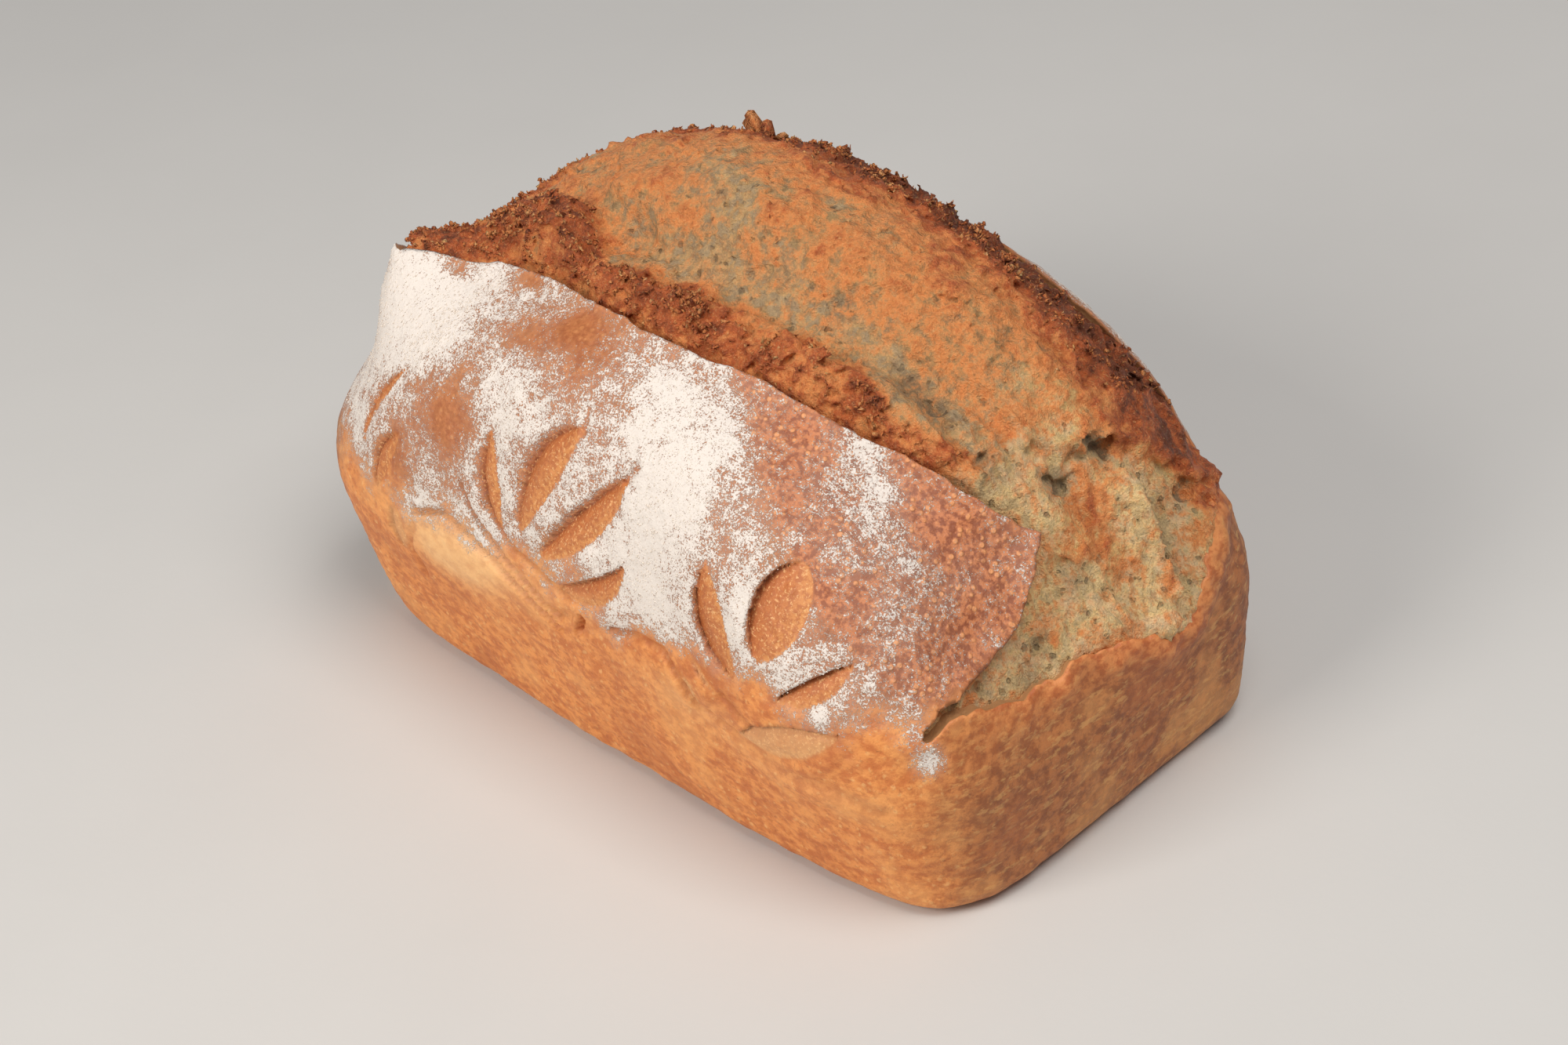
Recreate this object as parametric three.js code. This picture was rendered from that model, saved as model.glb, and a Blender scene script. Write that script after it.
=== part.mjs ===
// A spelt loaf baked in a tin: flat base, flared walls, a domed top that burst along one long cut.
// The skin is one smooth surface found by casting rays from the loaf's heart. The burst top, with its
// ear, ridge and valley, and the leaf cuts are then pushed in or out along the same rays.
// Millimetres, +Z up, +X along the loaf. The origin is the middle of the face it rests on.
import * as THREE from "three";

// The tin's cavity
const BASE_HALF_LENGTH = 98.5;
const BASE_HALF_WIDTH = 51.5;
const BASE_CORNER = 18;
const WALL_FLARE = 0.24;
const TIN_RIM = 60;
const WALL_BOW = 4;
const RIM_BULGE = 4.5;
const RIM_BULGE_Z = 62;
const RIM_BULGE_SPREAD = 22;
const SKIN_BLEND = 10;
const BASE_EDGE_BLEND = 6;

// The dome above the rim: an arch across the loaf met by an arch along it
const DOME_TOP = 132;
const DOME_SPRING = 34;
const DOME_BLEND = 46;
const ACROSS = { centre: 9, low: 71, high: 57, power: 1.91 };
const ALONG = { centre: -10, low: 102, high: 109, power: 1.67 };

// Where the near half sits lower than the far hump, and the upturned horn at the ear's left end
const NEAR_DROP = { depth: 10, y: -22, spread: 22, from: -100, to: -40 };
const HORN = { height: 13.5, x: -90, y: -30, spreadX: 16, spreadY: 15 };
const HOLLOWS = [
  { at: [-98, -40, 72], depth: 5, spread: 14 },
  { at: [88, 50, 62], depth: 4, spread: 20 },
];

// The burst's outline round the loaf: the ear, the flap's right edge, the right end, the far crust and
// the left end
const EAR = [
  [-86, -32, 95],
  [-76, -28, 95],
  [-59, -23, 96],
  [-40, -24, 99],
  [-21, -27, 101],
  [-4, -28, 101],
  [14, -27, 100],
  [33, -23, 97],
  [48, -20, 92],
  [59, -16, 88],
  [71, -11, 81],
  [79, -6, 74],
  [83, -2, 71],
];
const FLAP_END = [
  [85, -9, 64],
  [88, -16, 58],
  [89, -24, 55],
  [90, -37, 53],
  [88, -48, 47],
];
const RIGHT_END = [
  [91, -39, 49],
  [94, -25, 45],
  [96, -6, 43],
  [98, 12, 42],
  [98, 21, 41],
  [96, 24, 49],
  [92, 33, 56],
  [87, 47, 56],
];
const FAR_SIDE = [
  [73, 52, 68],
  [57, 48, 86],
  [30, 46, 98],
  [-10, 46, 101],
  [-50, 44, 95],
  [-78, 36, 83],
  [-94, 16, 76],
  [-96, -8, 80],
  [-92, -24, 88],
];
const OUTLINE_STEP = 2.5;
const HEART_HEIGHT = 42;
const MAP_RADIUS = 85;

// Relief of the burst top
const TORN_DEPTH = 2.2;
const TORN_RAMP = 3;
const EAR_LIP = { height: 1, spread: 3 };
const RIDGE = { height: 1.5, crest: 5.5, x: -50, spreadX: 24, behind: 7, crestBehind: 6, spread: 5 };
const VALLEY = { depth: 5, behind: 20, spread: 8, from: -32, to: -14, endFrom: 60, endTo: 84 };
const CREST_BACK = { depth: 4, behind: 27, spread: 6, x: -46, spreadX: 30 };
const END_HOLLOW = { depth: 2.5, ramp: 8, from: 60, to: 84 };

// Leaf cuts on the near side: tip, bend and root in x and z, and half the width
const CUT_DEPTH = 1.4;
const CUT_STEPS = 8;
const CUT_NEAR_Y = -34;
const LEAF_CUTS = [
  { tip: [-64, 81], bend: [-70, 73], root: [-79, 55], half: 3 },
  { tip: [-65, 65], bend: [-77, 58], root: [-69, 49], half: 3 },
  { tip: [-31, 79], bend: [-40, 67], root: [-27, 60], half: 3.2 },
  { tip: [-5, 89], bend: [-21, 79], root: [-19, 60], half: 5 },
  { tip: [13, 84], bend: [3, 74], root: [-12, 59], half: 4.5 },
  { tip: [15, 65], bend: [4, 55], root: [-7, 52], half: 3 },
  { tip: [38, 75], bend: [35, 62], root: [48, 53], half: 4 },
  { tip: [60, 79], bend: [49, 70], root: [55, 60], half: 5.5 },
  { tip: [76, 63], bend: [71, 55], root: [61, 52], half: 3 },
  { tip: [49, 38], bend: [60, 49], root: [77, 47], half: 3 },
];

// How finely the solid is faceted, and the box whose grid is thrown onto the skin
const CELLS = { x: 52, y: 27, z: 13 };
const BOX_HALF_LENGTH = 100;
const BOX_HALF_WIDTH = 56;
const BOX_TOP = 112;
const LONGEST_RAY = 190;
const HALVINGS = 40;
const CRUST_COLOUR = 0xc07a3c;

const bell = (t) => Math.exp(-t * t);

function ramp(from, to, value) {
  const t = Math.min(Math.max((value - from) / (to - from), 0), 1);
  return t * t * (3 - 2 * t);
}

function smoothMax(a, b, width) {
  const overlap = Math.max(width - Math.abs(a - b), 0) / width;
  return Math.max(a, b) + (overlap * overlap * width) / 4;
}

// Distance outside the tin's rounded, flared and slightly bowed cavity
function tinDistance(x, y, z) {
  const height = Math.min(Math.max(z, 0), TIN_RIM);
  const spread = WALL_FLARE * height + RIM_BULGE * bell((z - RIM_BULGE_Z) / RIM_BULGE_SPREAD);
  const halfLength = BASE_HALF_LENGTH + spread;
  const halfWidth = BASE_HALF_WIDTH + spread;
  const corner = BASE_CORNER + WALL_FLARE * height;
  const bowX = (WALL_BOW / 2) * (1 - (y / halfWidth) ** 2);
  const bowY = WALL_BOW * (1 - (x / halfLength) ** 2);
  const dx = Math.abs(x) - (halfLength + bowX - corner);
  const dy = Math.abs(y) - (halfWidth + bowY - corner);
  return Math.hypot(Math.max(dx, 0), Math.max(dy, 0)) + Math.min(Math.max(dx, dy), 0) - corner;
}

function archDistance(along, height, arch) {
  const reach = along > arch.centre ? arch.high : arch.low;
  const rise = DOME_TOP - DOME_SPRING;
  const a = (Math.abs(along - arch.centre) / reach) ** arch.power;
  const b = (Math.max(height - DOME_SPRING, 0) / rise) ** arch.power;
  return ((a + b) ** (1 / arch.power) - 1) * rise;
}

function domeLift(x, y) {
  const near = NEAR_DROP.depth * bell((y - NEAR_DROP.y) / NEAR_DROP.spread);
  const horn = HORN.height * bell((x - HORN.x) / HORN.spreadX) * bell((y - HORN.y) / HORN.spreadY);
  return horn - near * ramp(NEAR_DROP.from, NEAR_DROP.to, x);
}

function skinDistance(x, y, z) {
  const height = z - domeLift(x, y);
  const dome = smoothMax(archDistance(y, height, ACROSS), archDistance(x, height, ALONG), DOME_BLEND);
  let distance = smoothMax(tinDistance(x, y, z), dome, SKIN_BLEND);
  for (const { at, depth, spread } of HOLLOWS) {
    distance += depth * bell(Math.hypot(x - at[0], y - at[1], z - at[2]) / spread);
  }
  return smoothMax(distance, -z, BASE_EDGE_BLEND);
}

// The length of the ray from the heart to the skin
function skinRay(direction) {
  let inside = 0;
  let outside = LONGEST_RAY;
  for (let i = 0; i < HALVINGS; i += 1) {
    const middle = (inside + outside) / 2;
    const z = HEART_HEIGHT + direction.z * middle;
    if (skinDistance(direction.x * middle, direction.y * middle, z) < 0) {
      inside = middle;
    } else {
      outside = middle;
    }
  }
  return inside;
}

// The loaf's surface laid flat: degrees round the Y axis and away from it, both as millimetres
function laidFlat(x, y, z) {
  const up = z - HEART_HEIGHT;
  const round = Math.atan2(up, x);
  const aside = Math.atan2(y, Math.hypot(x, up));
  return new THREE.Vector2(round * MAP_RADIUS, aside * MAP_RADIUS);
}

function burstOutline() {
  const knots = [...EAR, ...FLAP_END, ...RIGHT_END, ...FAR_SIDE].map((p) => laidFlat(...p));
  const points = [];
  knots.forEach((knot, i) => {
    const next = knots[(i + 1) % knots.length];
    const steps = Math.max(1, Math.round(knot.distanceTo(next) / OUTLINE_STEP));
    for (let k = 0; k < steps; k += 1) {
      points.push(knot.clone().lerp(next, k / steps));
    }
  });
  return points;
}

const OUTLINE = burstOutline();

// Millimetres inside the burst, negative on the crust
function insideBurst(point) {
  let nearest = Infinity;
  let inside = false;
  OUTLINE.forEach((a, i) => {
    const b = OUTLINE[(i + 1) % OUTLINE.length];
    const side = b.clone().sub(a);
    const t = THREE.MathUtils.clamp(point.clone().sub(a).dot(side) / side.lengthSq(), 0, 1);
    nearest = Math.min(nearest, point.distanceTo(side.multiplyScalar(t).add(a)));
    if (a.y > point.y !== b.y > point.y) {
      const crossing = a.x + ((point.y - a.y) / (b.y - a.y)) * (b.x - a.x);
      inside = crossing > point.x ? !inside : inside;
    }
  });
  return inside ? nearest : -nearest;
}

function earY(x) {
  const next = EAR.findIndex((p) => p[0] > x);
  if (next < 1) {
    return next === 0 ? EAR[0][1] : EAR[EAR.length - 1][1];
  }
  const [x0, y0] = EAR[next - 1];
  const [x1, y1] = EAR[next];
  return y0 + ((x - x0) / (x1 - x0)) * (y1 - y0);
}

// The torn ridge behind the ear, the valley behind that, and the sunken right end
function burstRelief(x, y, inside) {
  const behind = y - earY(x);
  const crest = bell((x - RIDGE.x) / RIDGE.spreadX);
  const ridgeAt = RIDGE.behind + RIDGE.crestBehind * crest;
  const ridge = (RIDGE.height + RIDGE.crest * crest) * bell((behind - ridgeAt) / RIDGE.spread);
  const length = ramp(VALLEY.from, VALLEY.to, x) * (1 - ramp(VALLEY.endFrom, VALLEY.endTo, x));
  const valley = VALLEY.depth * bell((behind - VALLEY.behind) / VALLEY.spread) * length;
  const back = bell((behind - CREST_BACK.behind) / CREST_BACK.spread);
  const crestBack = CREST_BACK.depth * back * bell((x - CREST_BACK.x) / CREST_BACK.spreadX);
  const end = END_HOLLOW.depth * ramp(0, END_HOLLOW.ramp, inside) * ramp(END_HOLLOW.from, END_HOLLOW.to, x);
  return (ridge - valley - crestBack) * ramp(0, TORN_RAMP, inside) - end;
}

function cutCurve({ tip, bend, root }) {
  const curve = new THREE.QuadraticBezierCurve(
    new THREE.Vector2(...tip),
    new THREE.Vector2(...bend),
    new THREE.Vector2(...root),
  );
  return curve.getPoints(CUT_STEPS);
}

const CUT_PATHS = LEAF_CUTS.map((cut) => ({ half: cut.half, points: cutCurve(cut) }));

function leafDepth(x, y, z) {
  if (y > CUT_NEAR_Y) {
    return 0;
  }
  const here = new THREE.Vector2(x, z);
  let depth = 0;
  for (const { half, points } of CUT_PATHS) {
    points.forEach((point, i) => {
      const width = half * Math.sin((Math.PI * (i + 1)) / (CUT_STEPS + 2));
      depth = Math.max(depth, bell(here.distanceTo(point) / width));
    });
  }
  return depth * CUT_DEPTH;
}

// How far the real surface stands out from the smooth skin, along the ray
function relief(x, y, z) {
  if (z < RIM_BULGE_SPREAD) {
    return 0;
  }
  const inside = insideBurst(laidFlat(x, y, z));
  const lip = inside < 0 ? EAR_LIP.height * bell(inside / EAR_LIP.spread) : EAR_LIP.height;
  const torn = -(TORN_DEPTH + EAR_LIP.height) * ramp(0, TORN_RAMP, inside);
  return lip + torn + burstRelief(x, y, inside) - leafDepth(x, y, z);
}

function throwOntoSkin(positions) {
  const direction = new THREE.Vector3();
  for (let i = 0; i < positions.count; i += 1) {
    direction.fromBufferAttribute(positions, i);
    direction.z -= HEART_HEIGHT;
    direction.normalize();
    const reach = skinRay(direction);
    const z = HEART_HEIGHT + direction.z * reach;
    const full = reach + relief(direction.x * reach, direction.y * reach, z);
    const height = HEART_HEIGHT + direction.z * full;
    positions.setXYZ(i, direction.x * full, direction.y * full, height < 1e-3 ? 0 : height);
  }
}

function loafGeometry() {
  const { x, y, z } = CELLS;
  const box = new THREE.BoxGeometry(2 * BOX_HALF_LENGTH, 2 * BOX_HALF_WIDTH, BOX_TOP, x, y, z);
  box.translate(0, 0, BOX_TOP / 2);
  throwOntoSkin(box.attributes.position);
  box.computeVertexNormals();
  return box;
}

const crust = new THREE.MeshStandardMaterial({ color: CRUST_COLOUR, roughness: 0.85, metalness: 0 });
const loaf = new THREE.Mesh(loafGeometry(), crust);
loaf.name = "loaf";

const bread = new THREE.Group();
bread.add(loaf);

export default bread;
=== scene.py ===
# %% [markdown]
# # A spelt loaf from the tin
# The bread is one piece: golden walls where the dough met the tin, a skin dusted with flour and cut with
# leaves on one long side, and a top that burst open along one cut. The solid frame gives its size. This
# lesson makes the two surfaces that a close look needs, the baked skin and the torn crumb, and then the
# shreds and the flour that lie on them.

# %% Load the frame
import itertools
import math

import bpy
import numpy as np
from mathutils import Matrix, Vector


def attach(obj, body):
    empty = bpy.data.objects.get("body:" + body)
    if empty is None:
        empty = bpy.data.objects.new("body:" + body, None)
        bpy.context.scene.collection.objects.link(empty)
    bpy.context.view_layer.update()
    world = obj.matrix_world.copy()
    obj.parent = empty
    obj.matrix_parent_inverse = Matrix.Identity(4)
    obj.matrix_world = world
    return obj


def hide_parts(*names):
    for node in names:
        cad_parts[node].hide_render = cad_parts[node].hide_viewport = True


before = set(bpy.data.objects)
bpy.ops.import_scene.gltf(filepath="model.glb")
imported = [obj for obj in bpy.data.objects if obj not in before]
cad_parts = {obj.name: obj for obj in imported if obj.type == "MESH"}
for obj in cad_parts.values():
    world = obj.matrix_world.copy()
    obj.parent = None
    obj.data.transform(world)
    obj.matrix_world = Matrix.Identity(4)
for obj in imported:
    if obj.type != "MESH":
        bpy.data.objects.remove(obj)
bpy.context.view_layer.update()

MM = 0.001

# %% [markdown]
# ## Numbers that stand for uneven dough
# Nothing on a loaf is even, and nothing on it is random in the same way at every size. Lumps as wide as a
# finger, a few millimetres and half a millimetre are added up, each weaker than the last. Perlin noise
# gives smooth lumps, its folded form gives sharp ridges, and cell noise gives bubbles. Doing this in numpy,
# and not with a texture, lets the same numbers move the surface and colour it.

# %% Lumps, ridges and bubbles
DIRECTIONS = np.random.default_rng(7).normal(size=(256, 3))
DIRECTIONS /= np.linalg.norm(DIRECTIONS, axis=1)[:, None]


def scramble(cell, seed):
    mixed = cell[..., 0] * 73856093 ^ cell[..., 1] * 19349663 ^ cell[..., 2] * 83492791 ^ seed * 2654435
    mixed = (mixed ^ (mixed >> 13)) * 1274126177
    return (mixed ^ (mixed >> 16)) & 0xFFFFFF


def lumps(points, size, seed=0):
    """Smooth lumps about size millimetres wide, from about -1 to 1."""
    place = points / size
    cell = np.floor(place).astype(np.int64)
    inside = place - cell
    ease = inside**3 * (inside * (inside * 6 - 15) + 10)
    total = np.zeros(len(points))
    for corner in itertools.product((0, 1), repeat=3):
        pull = DIRECTIONS[scramble(cell + corner, seed) & 255]
        weight = np.prod(np.where(corner, ease, 1 - ease), axis=1)
        total += weight * np.einsum("ij,ij->i", inside - corner, pull)
    return total * 1.7


def layered(points, size, layers, seed=0, weaker=0.5):
    """Lumps of size, of half that size and so on."""
    total, weight = 0, 1
    for layer in range(layers):
        total = total + weight * lumps(points, size / 2**layer, seed + layer)
        weight *= weaker
    return total


def ridges(points, size, layers, seed=0):
    """Folded lumps: sharp crests between round hollows, from about 0 to 1."""
    total, weight = 0, 0.5
    for layer in range(layers):
        total = total + weight * (1 - np.abs(lumps(points, size / 2**layer, seed + layer))) ** 3
        weight *= 0.5
    return total


def bubbles(points, size, seed=0):
    """Distance to the nearest bubble's middle, in bubbles, and a number from 0 to 1 for that bubble."""
    place = points / size
    cell = np.floor(place).astype(np.int64)
    nearest = np.full(len(points), 9.0)
    which = np.zeros(len(points))
    for step in itertools.product((-1, 0, 1), repeat=3):
        there = cell + step
        spot = scramble(there, seed)
        middle = there + np.stack([spot & 255, (spot >> 8) & 255, (spot >> 16) & 255], 1) / 255
        gap = np.linalg.norm(place - middle, axis=1)
        closer = gap < nearest
        nearest = np.where(closer, gap, nearest)
        which = np.where(closer, (spot & 0xFFF) / 0xFFF, which)
    return nearest, which


def bell(value):
    return np.exp(-np.square(value))


def ramp(start, end, value):
    t = np.clip((value - start) / (end - start), 0, 1)
    return t * t * (3 - 2 * t)


def unit(vectors):
    return vectors / np.linalg.norm(vectors, axis=-1, keepdims=True)


def blobs(places, rows, start=0):
    """Adds up soft blobs on a flat map, each with a middle, a reach along both axes and an amount."""
    total = start
    for middle, reach, amount in rows:
        total = total + amount * bell(np.hypot(*((places - middle) / reach).T))
    return total


print("lumps along a line:", lumps(np.arange(0, 2, 0.4)[:, None] * [1, 0.5, 0.3], 1.0).round(2))

# %% [markdown]
# ## The loaf's smooth form
# The solid was drawn as a rounded, flared tin shape met by two arches, one across the loaf and one along
# it. The same sizes are used here, so every piece of this lesson lies where the solid is. Rays from the
# loaf's heart find the skin: for each ray, the gap between a length that ends inside and one that ends
# outside is halved again and again.

# %% The smooth skin
HALF_LENGTH, HALF_WIDTH, CORNER = 98.5, 51.5, 18.0
WALL_FLARE, TIN_RIM, WALL_BOW = 0.24, 60.0, 4.0
RIM_BULGE, RIM_BULGE_Z, RIM_BULGE_SPREAD = 4.5, 62.0, 22.0
SKIN_BLEND, BASE_EDGE_BLEND = 10.0, 6.0
DOME_TOP, DOME_SPRING, DOME_BLEND = 132.0, 34.0, 46.0
# The arches across and along the loaf: the top's place, how far each side reaches and how round it is
ACROSS = dict(centre=9.0, low=71.0, high=57.0, power=1.91)
ALONG = dict(centre=-10.0, low=102.0, high=109.0, power=1.67)
NEAR_DROP = dict(depth=10.0, y=-22.0, spread=22.0, start=-100.0, end=-40.0)
HORN = dict(height=13.5, x=-90.0, y=-30.0, spread_x=16.0, spread_y=15.0)
# A hollow in the skin: its place, its depth and its reach
HOLLOWS = [((-98, -40, 72), 5.0, 14.0), ((88, 50, 62), 4.0, 20.0)]
HEART = np.array([0.0, 0.0, 42.0])
LONGEST_RAY, HALVINGS = 190.0, 26


def smooth_max(a, b, width):
    overlap = np.maximum(width - np.abs(a - b), 0) / width
    return np.maximum(a, b) + overlap**2 * width / 4


def tin_distance(x, y, z):
    height = np.clip(z, 0, TIN_RIM)
    spread = WALL_FLARE * height + RIM_BULGE * bell((z - RIM_BULGE_Z) / RIM_BULGE_SPREAD)
    half_length, half_width = HALF_LENGTH + spread, HALF_WIDTH + spread
    corner = CORNER + WALL_FLARE * height
    bow_x = WALL_BOW / 2 * (1 - (y / half_width) ** 2)
    bow_y = WALL_BOW * (1 - (x / half_length) ** 2)
    dx = np.abs(x) - (half_length + bow_x - corner)
    dy = np.abs(y) - (half_width + bow_y - corner)
    return np.hypot(np.maximum(dx, 0), np.maximum(dy, 0)) + np.minimum(np.maximum(dx, dy), 0) - corner


def arch_distance(along, height, centre, low, high, power):
    reach = np.where(along > centre, high, low)
    rise = DOME_TOP - DOME_SPRING
    a = (np.abs(along - centre) / reach) ** power
    b = (np.maximum(height - DOME_SPRING, 0) / rise) ** power
    return ((a + b) ** (1 / power) - 1) * rise


def dome_lift(x, y):
    near = NEAR_DROP["depth"] * bell((y - NEAR_DROP["y"]) / NEAR_DROP["spread"])
    horn = HORN["height"] * bell((x - HORN["x"]) / HORN["spread_x"])
    horn = horn * bell((y - HORN["y"]) / HORN["spread_y"])
    return horn - near * ramp(NEAR_DROP["start"], NEAR_DROP["end"], x)


def skin_distance(points):
    x, y, z = points.T
    height = z - dome_lift(x, y)
    dome = smooth_max(arch_distance(y, height, **ACROSS), arch_distance(x, height, **ALONG), DOME_BLEND)
    distance = smooth_max(tin_distance(x, y, z), dome, SKIN_BLEND)
    for place, depth, spread in HOLLOWS:
        distance = distance + depth * bell(np.linalg.norm(points - place, axis=1) / spread)
    return smooth_max(distance, -z, BASE_EDGE_BLEND)


def throw(directions):
    """Length of each ray from the heart to the skin, for directions of length 1."""
    inside = np.zeros(len(directions))
    outside = np.full(len(directions), LONGEST_RAY)
    for _ in range(HALVINGS):
        middle = (inside + outside) / 2
        within = skin_distance(HEART + directions * middle[:, None]) < 0
        inside = np.where(within, middle, inside)
        outside = np.where(within, outside, middle)
    return inside


to_hump = unit(np.array([[0.0, 15.0, 75.0]]))
print("the far hump stands at", (HEART + to_hump * throw(to_hump)[:, None]).round(1), "mm")

# %% [markdown]
# ## Where the dough tore
# The burst is one closed outline round the top: along the raised ear, down the flap's right edge to a slit,
# back across the right end, and along the far side. The skin is laid flat by two angles round the heart,
# each turned into millimetres at one middle radius. There the outline is a plain polygon, and the distance
# to it says how deep in the tear a point lies. That distance drives the lip, the recess and the colours.

# %% The burst's outline
EAR = [
    (-86, -32, 95), (-76, -28, 95), (-59, -23, 96), (-40, -24, 99), (-21, -27, 101), (-4, -28, 101),
    (14, -27, 100), (33, -23, 97), (48, -20, 92), (59, -16, 88), (71, -11, 81), (79, -6, 74), (83, -2, 71),
]
FLAP_END = [(85, -9, 64), (88, -16, 58), (89, -26, 55), (90, -35, 53.5), (89, -42, 52), (87.5, -49, 46.5)]
RIGHT_END = [
    (91, -38, 50), (93.5, -25, 47.5), (95.3, -13, 45), (96.5, -2, 45.5), (97.3, 7, 45), (97.6, 12, 43),
    (98.4, 18, 39), (98.2, 24, 40), (97, 29, 46), (94.5, 34, 50), (91, 40, 54), (87.5, 47, 54), (84, 54, 51),
]
FAR_SIDE = [
    (80, 54, 58), (72, 51.5, 71), (64, 46.5, 84), (54, 43, 92), (40, 42.5, 97), (28, 45, 99),
    (-10, 46, 101), (-50, 44, 95), (-78, 36, 83), (-94, 16, 76), (-96, -8, 80), (-92, -24, 88),
]
MAP_RADIUS = 85.0
OUTLINE_STEP = 1.1
# How far the outline wanders: more on the right end, which is left of this line on the map
END_OF_WALL = 12.0
RAGGED = dict(ear=0.55, end=1.3)


def laid_flat(points):
    up = points[:, 2] - HEART[2]
    around = np.arctan2(up, points[:, 0])
    aside = np.arctan2(points[:, 1], np.hypot(points[:, 0], up))
    return np.stack([around, aside], 1) * MAP_RADIUS


def burst_outline():
    knots = laid_flat(np.array(EAR + FLAP_END + RIGHT_END + FAR_SIDE, float))
    points = []
    for here, there in zip(knots, np.roll(knots, -1, axis=0)):
        steps = max(1, round(np.linalg.norm(there - here) / OUTLINE_STEP))
        points += [here + (there - here) * k / steps for k in range(steps)]
    points = np.array(points)
    place = np.c_[points, points[:, 0] * 0]
    wander = np.stack([layered(place, 12, 4, 3, 0.75), layered(place, 12, 4, 13, 0.75)], 1)
    return points + wander * np.where(points[:, :1] < END_OF_WALL, RAGGED["end"], RAGGED["ear"])


OUTLINE = burst_outline()


def path_distance(flat, path):
    nearest = np.full(len(flat), np.inf)
    for a, b in zip(np.array(path[:-1], float), np.array(path[1:], float)):
        side = b - a
        t = np.clip((flat - a) @ side / (side @ side), 0, 1)
        nearest = np.minimum(nearest, np.linalg.norm(flat - a - t[:, None] * side, axis=1))
    return nearest


def inside_outline(flat):
    """Millimetres inside the burst, negative on the skin."""
    nearest = path_distance(flat, np.vstack([OUTLINE, OUTLINE[:1]]))
    within = np.zeros(len(flat), bool)
    for a, b in zip(OUTLINE, np.roll(OUTLINE, -1, axis=0)):
        if a[1] != b[1]:
            crossing = a[0] + (flat[:, 1] - a[1]) / (b[1] - a[1]) * (b[0] - a[0])
            within ^= ((a[1] > flat[:, 1]) != (b[1] > flat[:, 1])) & (crossing > flat[:, 0])
    return np.where(within, nearest, -nearest)


print("the burst's outline has", len(OUTLINE), "points")

# %% [markdown]
# ## The leaves cut in the flap
# A baker draws each leaf with one shallow stroke. In the oven the cut opens: one edge stays as a thin sharp
# lip, and golden dough swells up beside it until it is flush with the other edge. So a leaf is the space
# between two arcs from its tip to its root, and its depth falls off from the lip to the far arc. The flap
# is laid flat too, as millimetres along the loaf and millimetres up round its side.

# %% Leaf cuts and creases
GIRTH_RADIUS = 62.0


def flap_map(points):
    up = np.arctan2(points[:, 2] - HEART[2], -points[:, 1]) * GIRTH_RADIUS
    return np.stack([points[:, 0], up], 1)


# A leaf: tip and root on the flap's map, how far the lip's arc and the far arc swing out of the stroke
# between them, how pointed its ends are and its depth
LEAVES = [
    ((-65.1, 41.1), (-78.9, 14.8), -4.6, -1.4, 1.0, 1.3),
    ((-63.1, 25.5), (-71.6, 7.9), -5.6, 1.4, 0.8, 1.6),
    ((-65.5, 7.3), (-64.4, -6.3), -2.9, 2.7, 1.0, 1.1),
    ((-31.6, 38.0), (-26.0, 14.5), -7.2, 1.2, 0.9, 2.3),
    ((-3.6, 46.6), (-19.5, 18.0), -8.6, 2.3, 0.62, 2.6),
    ((12.0, 42.0), (-12.6, 15.2), -2.6, 6.0, 0.62, 2.6),
    ((14.9, 24.5), (-7.4, 10.2), 1.0, 7.8, 0.8, 2.2),
    ((37.6, 33.4), (49.6, 10.4), -7.4, 1.8, 0.8, 2.2),
    ((58.4, 42.0), (54.2, 17.6), -5.6, 7.2, 0.6, 2.5),
    ((75.0, 25.0), (59.4, 10.2), -0.6, 5.6, 0.9, 3.4),
    ((33.6, 12.0), (43.6, 3.8), -0.9, 0.9, 1.0, 1.0),
    ((32.3, 5.4), (37.0, -2.8), -1.2, 1.4, 1.0, 1.0),
    ((76.0, 7.0), (47.5, -4.6), -3.4, 5.4, 1.0, 1.9),
]
# Creases: points along each, half its width and its depth
CREASES = [
    ([(-40.4, 21.0), (-35.9, 15.1), (-28.0, 9.4), (-17.5, 5.3), (-7.6, 0.6)], 1.0, 1.6),
    ([(-27.4, 15.3), (-23.4, 12.8), (-11.4, 10.0), (-3.3, 8.1)], 0.8, 0.9),
    ([(-9.0, 1.6), (-2.0, 3.6), (0.6, 4.6)], 1.4, 0.8),
    ([(0.6, 4.6), (-0.4, 2.4), (-1.8, -0.4)], 0.7, 3.2),
    ([(10.0, 5.4), (19.0, 7.6), (27.0, 7.8), (31.5, 3.0), (36.0, -2.8), (47.5, -5.0)], 1.1, 1.2),
    ([(-57.0, 8.0), (-48.0, 11.5), (-38.0, 9.4), (-28.0, 6.0), (-16.0, 1.0), (-8.0, -2.5)], 0.8, 2.0),
    ([(-58.0, 4.0), (-62.0, -4.0), (-61.0, -12.0)], 1.2, 1.0),
    ([(47.5, -5.0), (60.0, -8.5), (72.0, -8.0), (84.0, -12.0)], 1.8, 0.6),
    ([(45.0, 4.4), (51.0, 0.8), (56.0, -0.6)], 1.2, 0.8),
    ([(-4.4, 50.4), (-3.4, 45.6)], 0.8, 0.7),
    ([(13.6, 44.6), (11.4, 41.0)], 0.8, 0.7),
]


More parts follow.
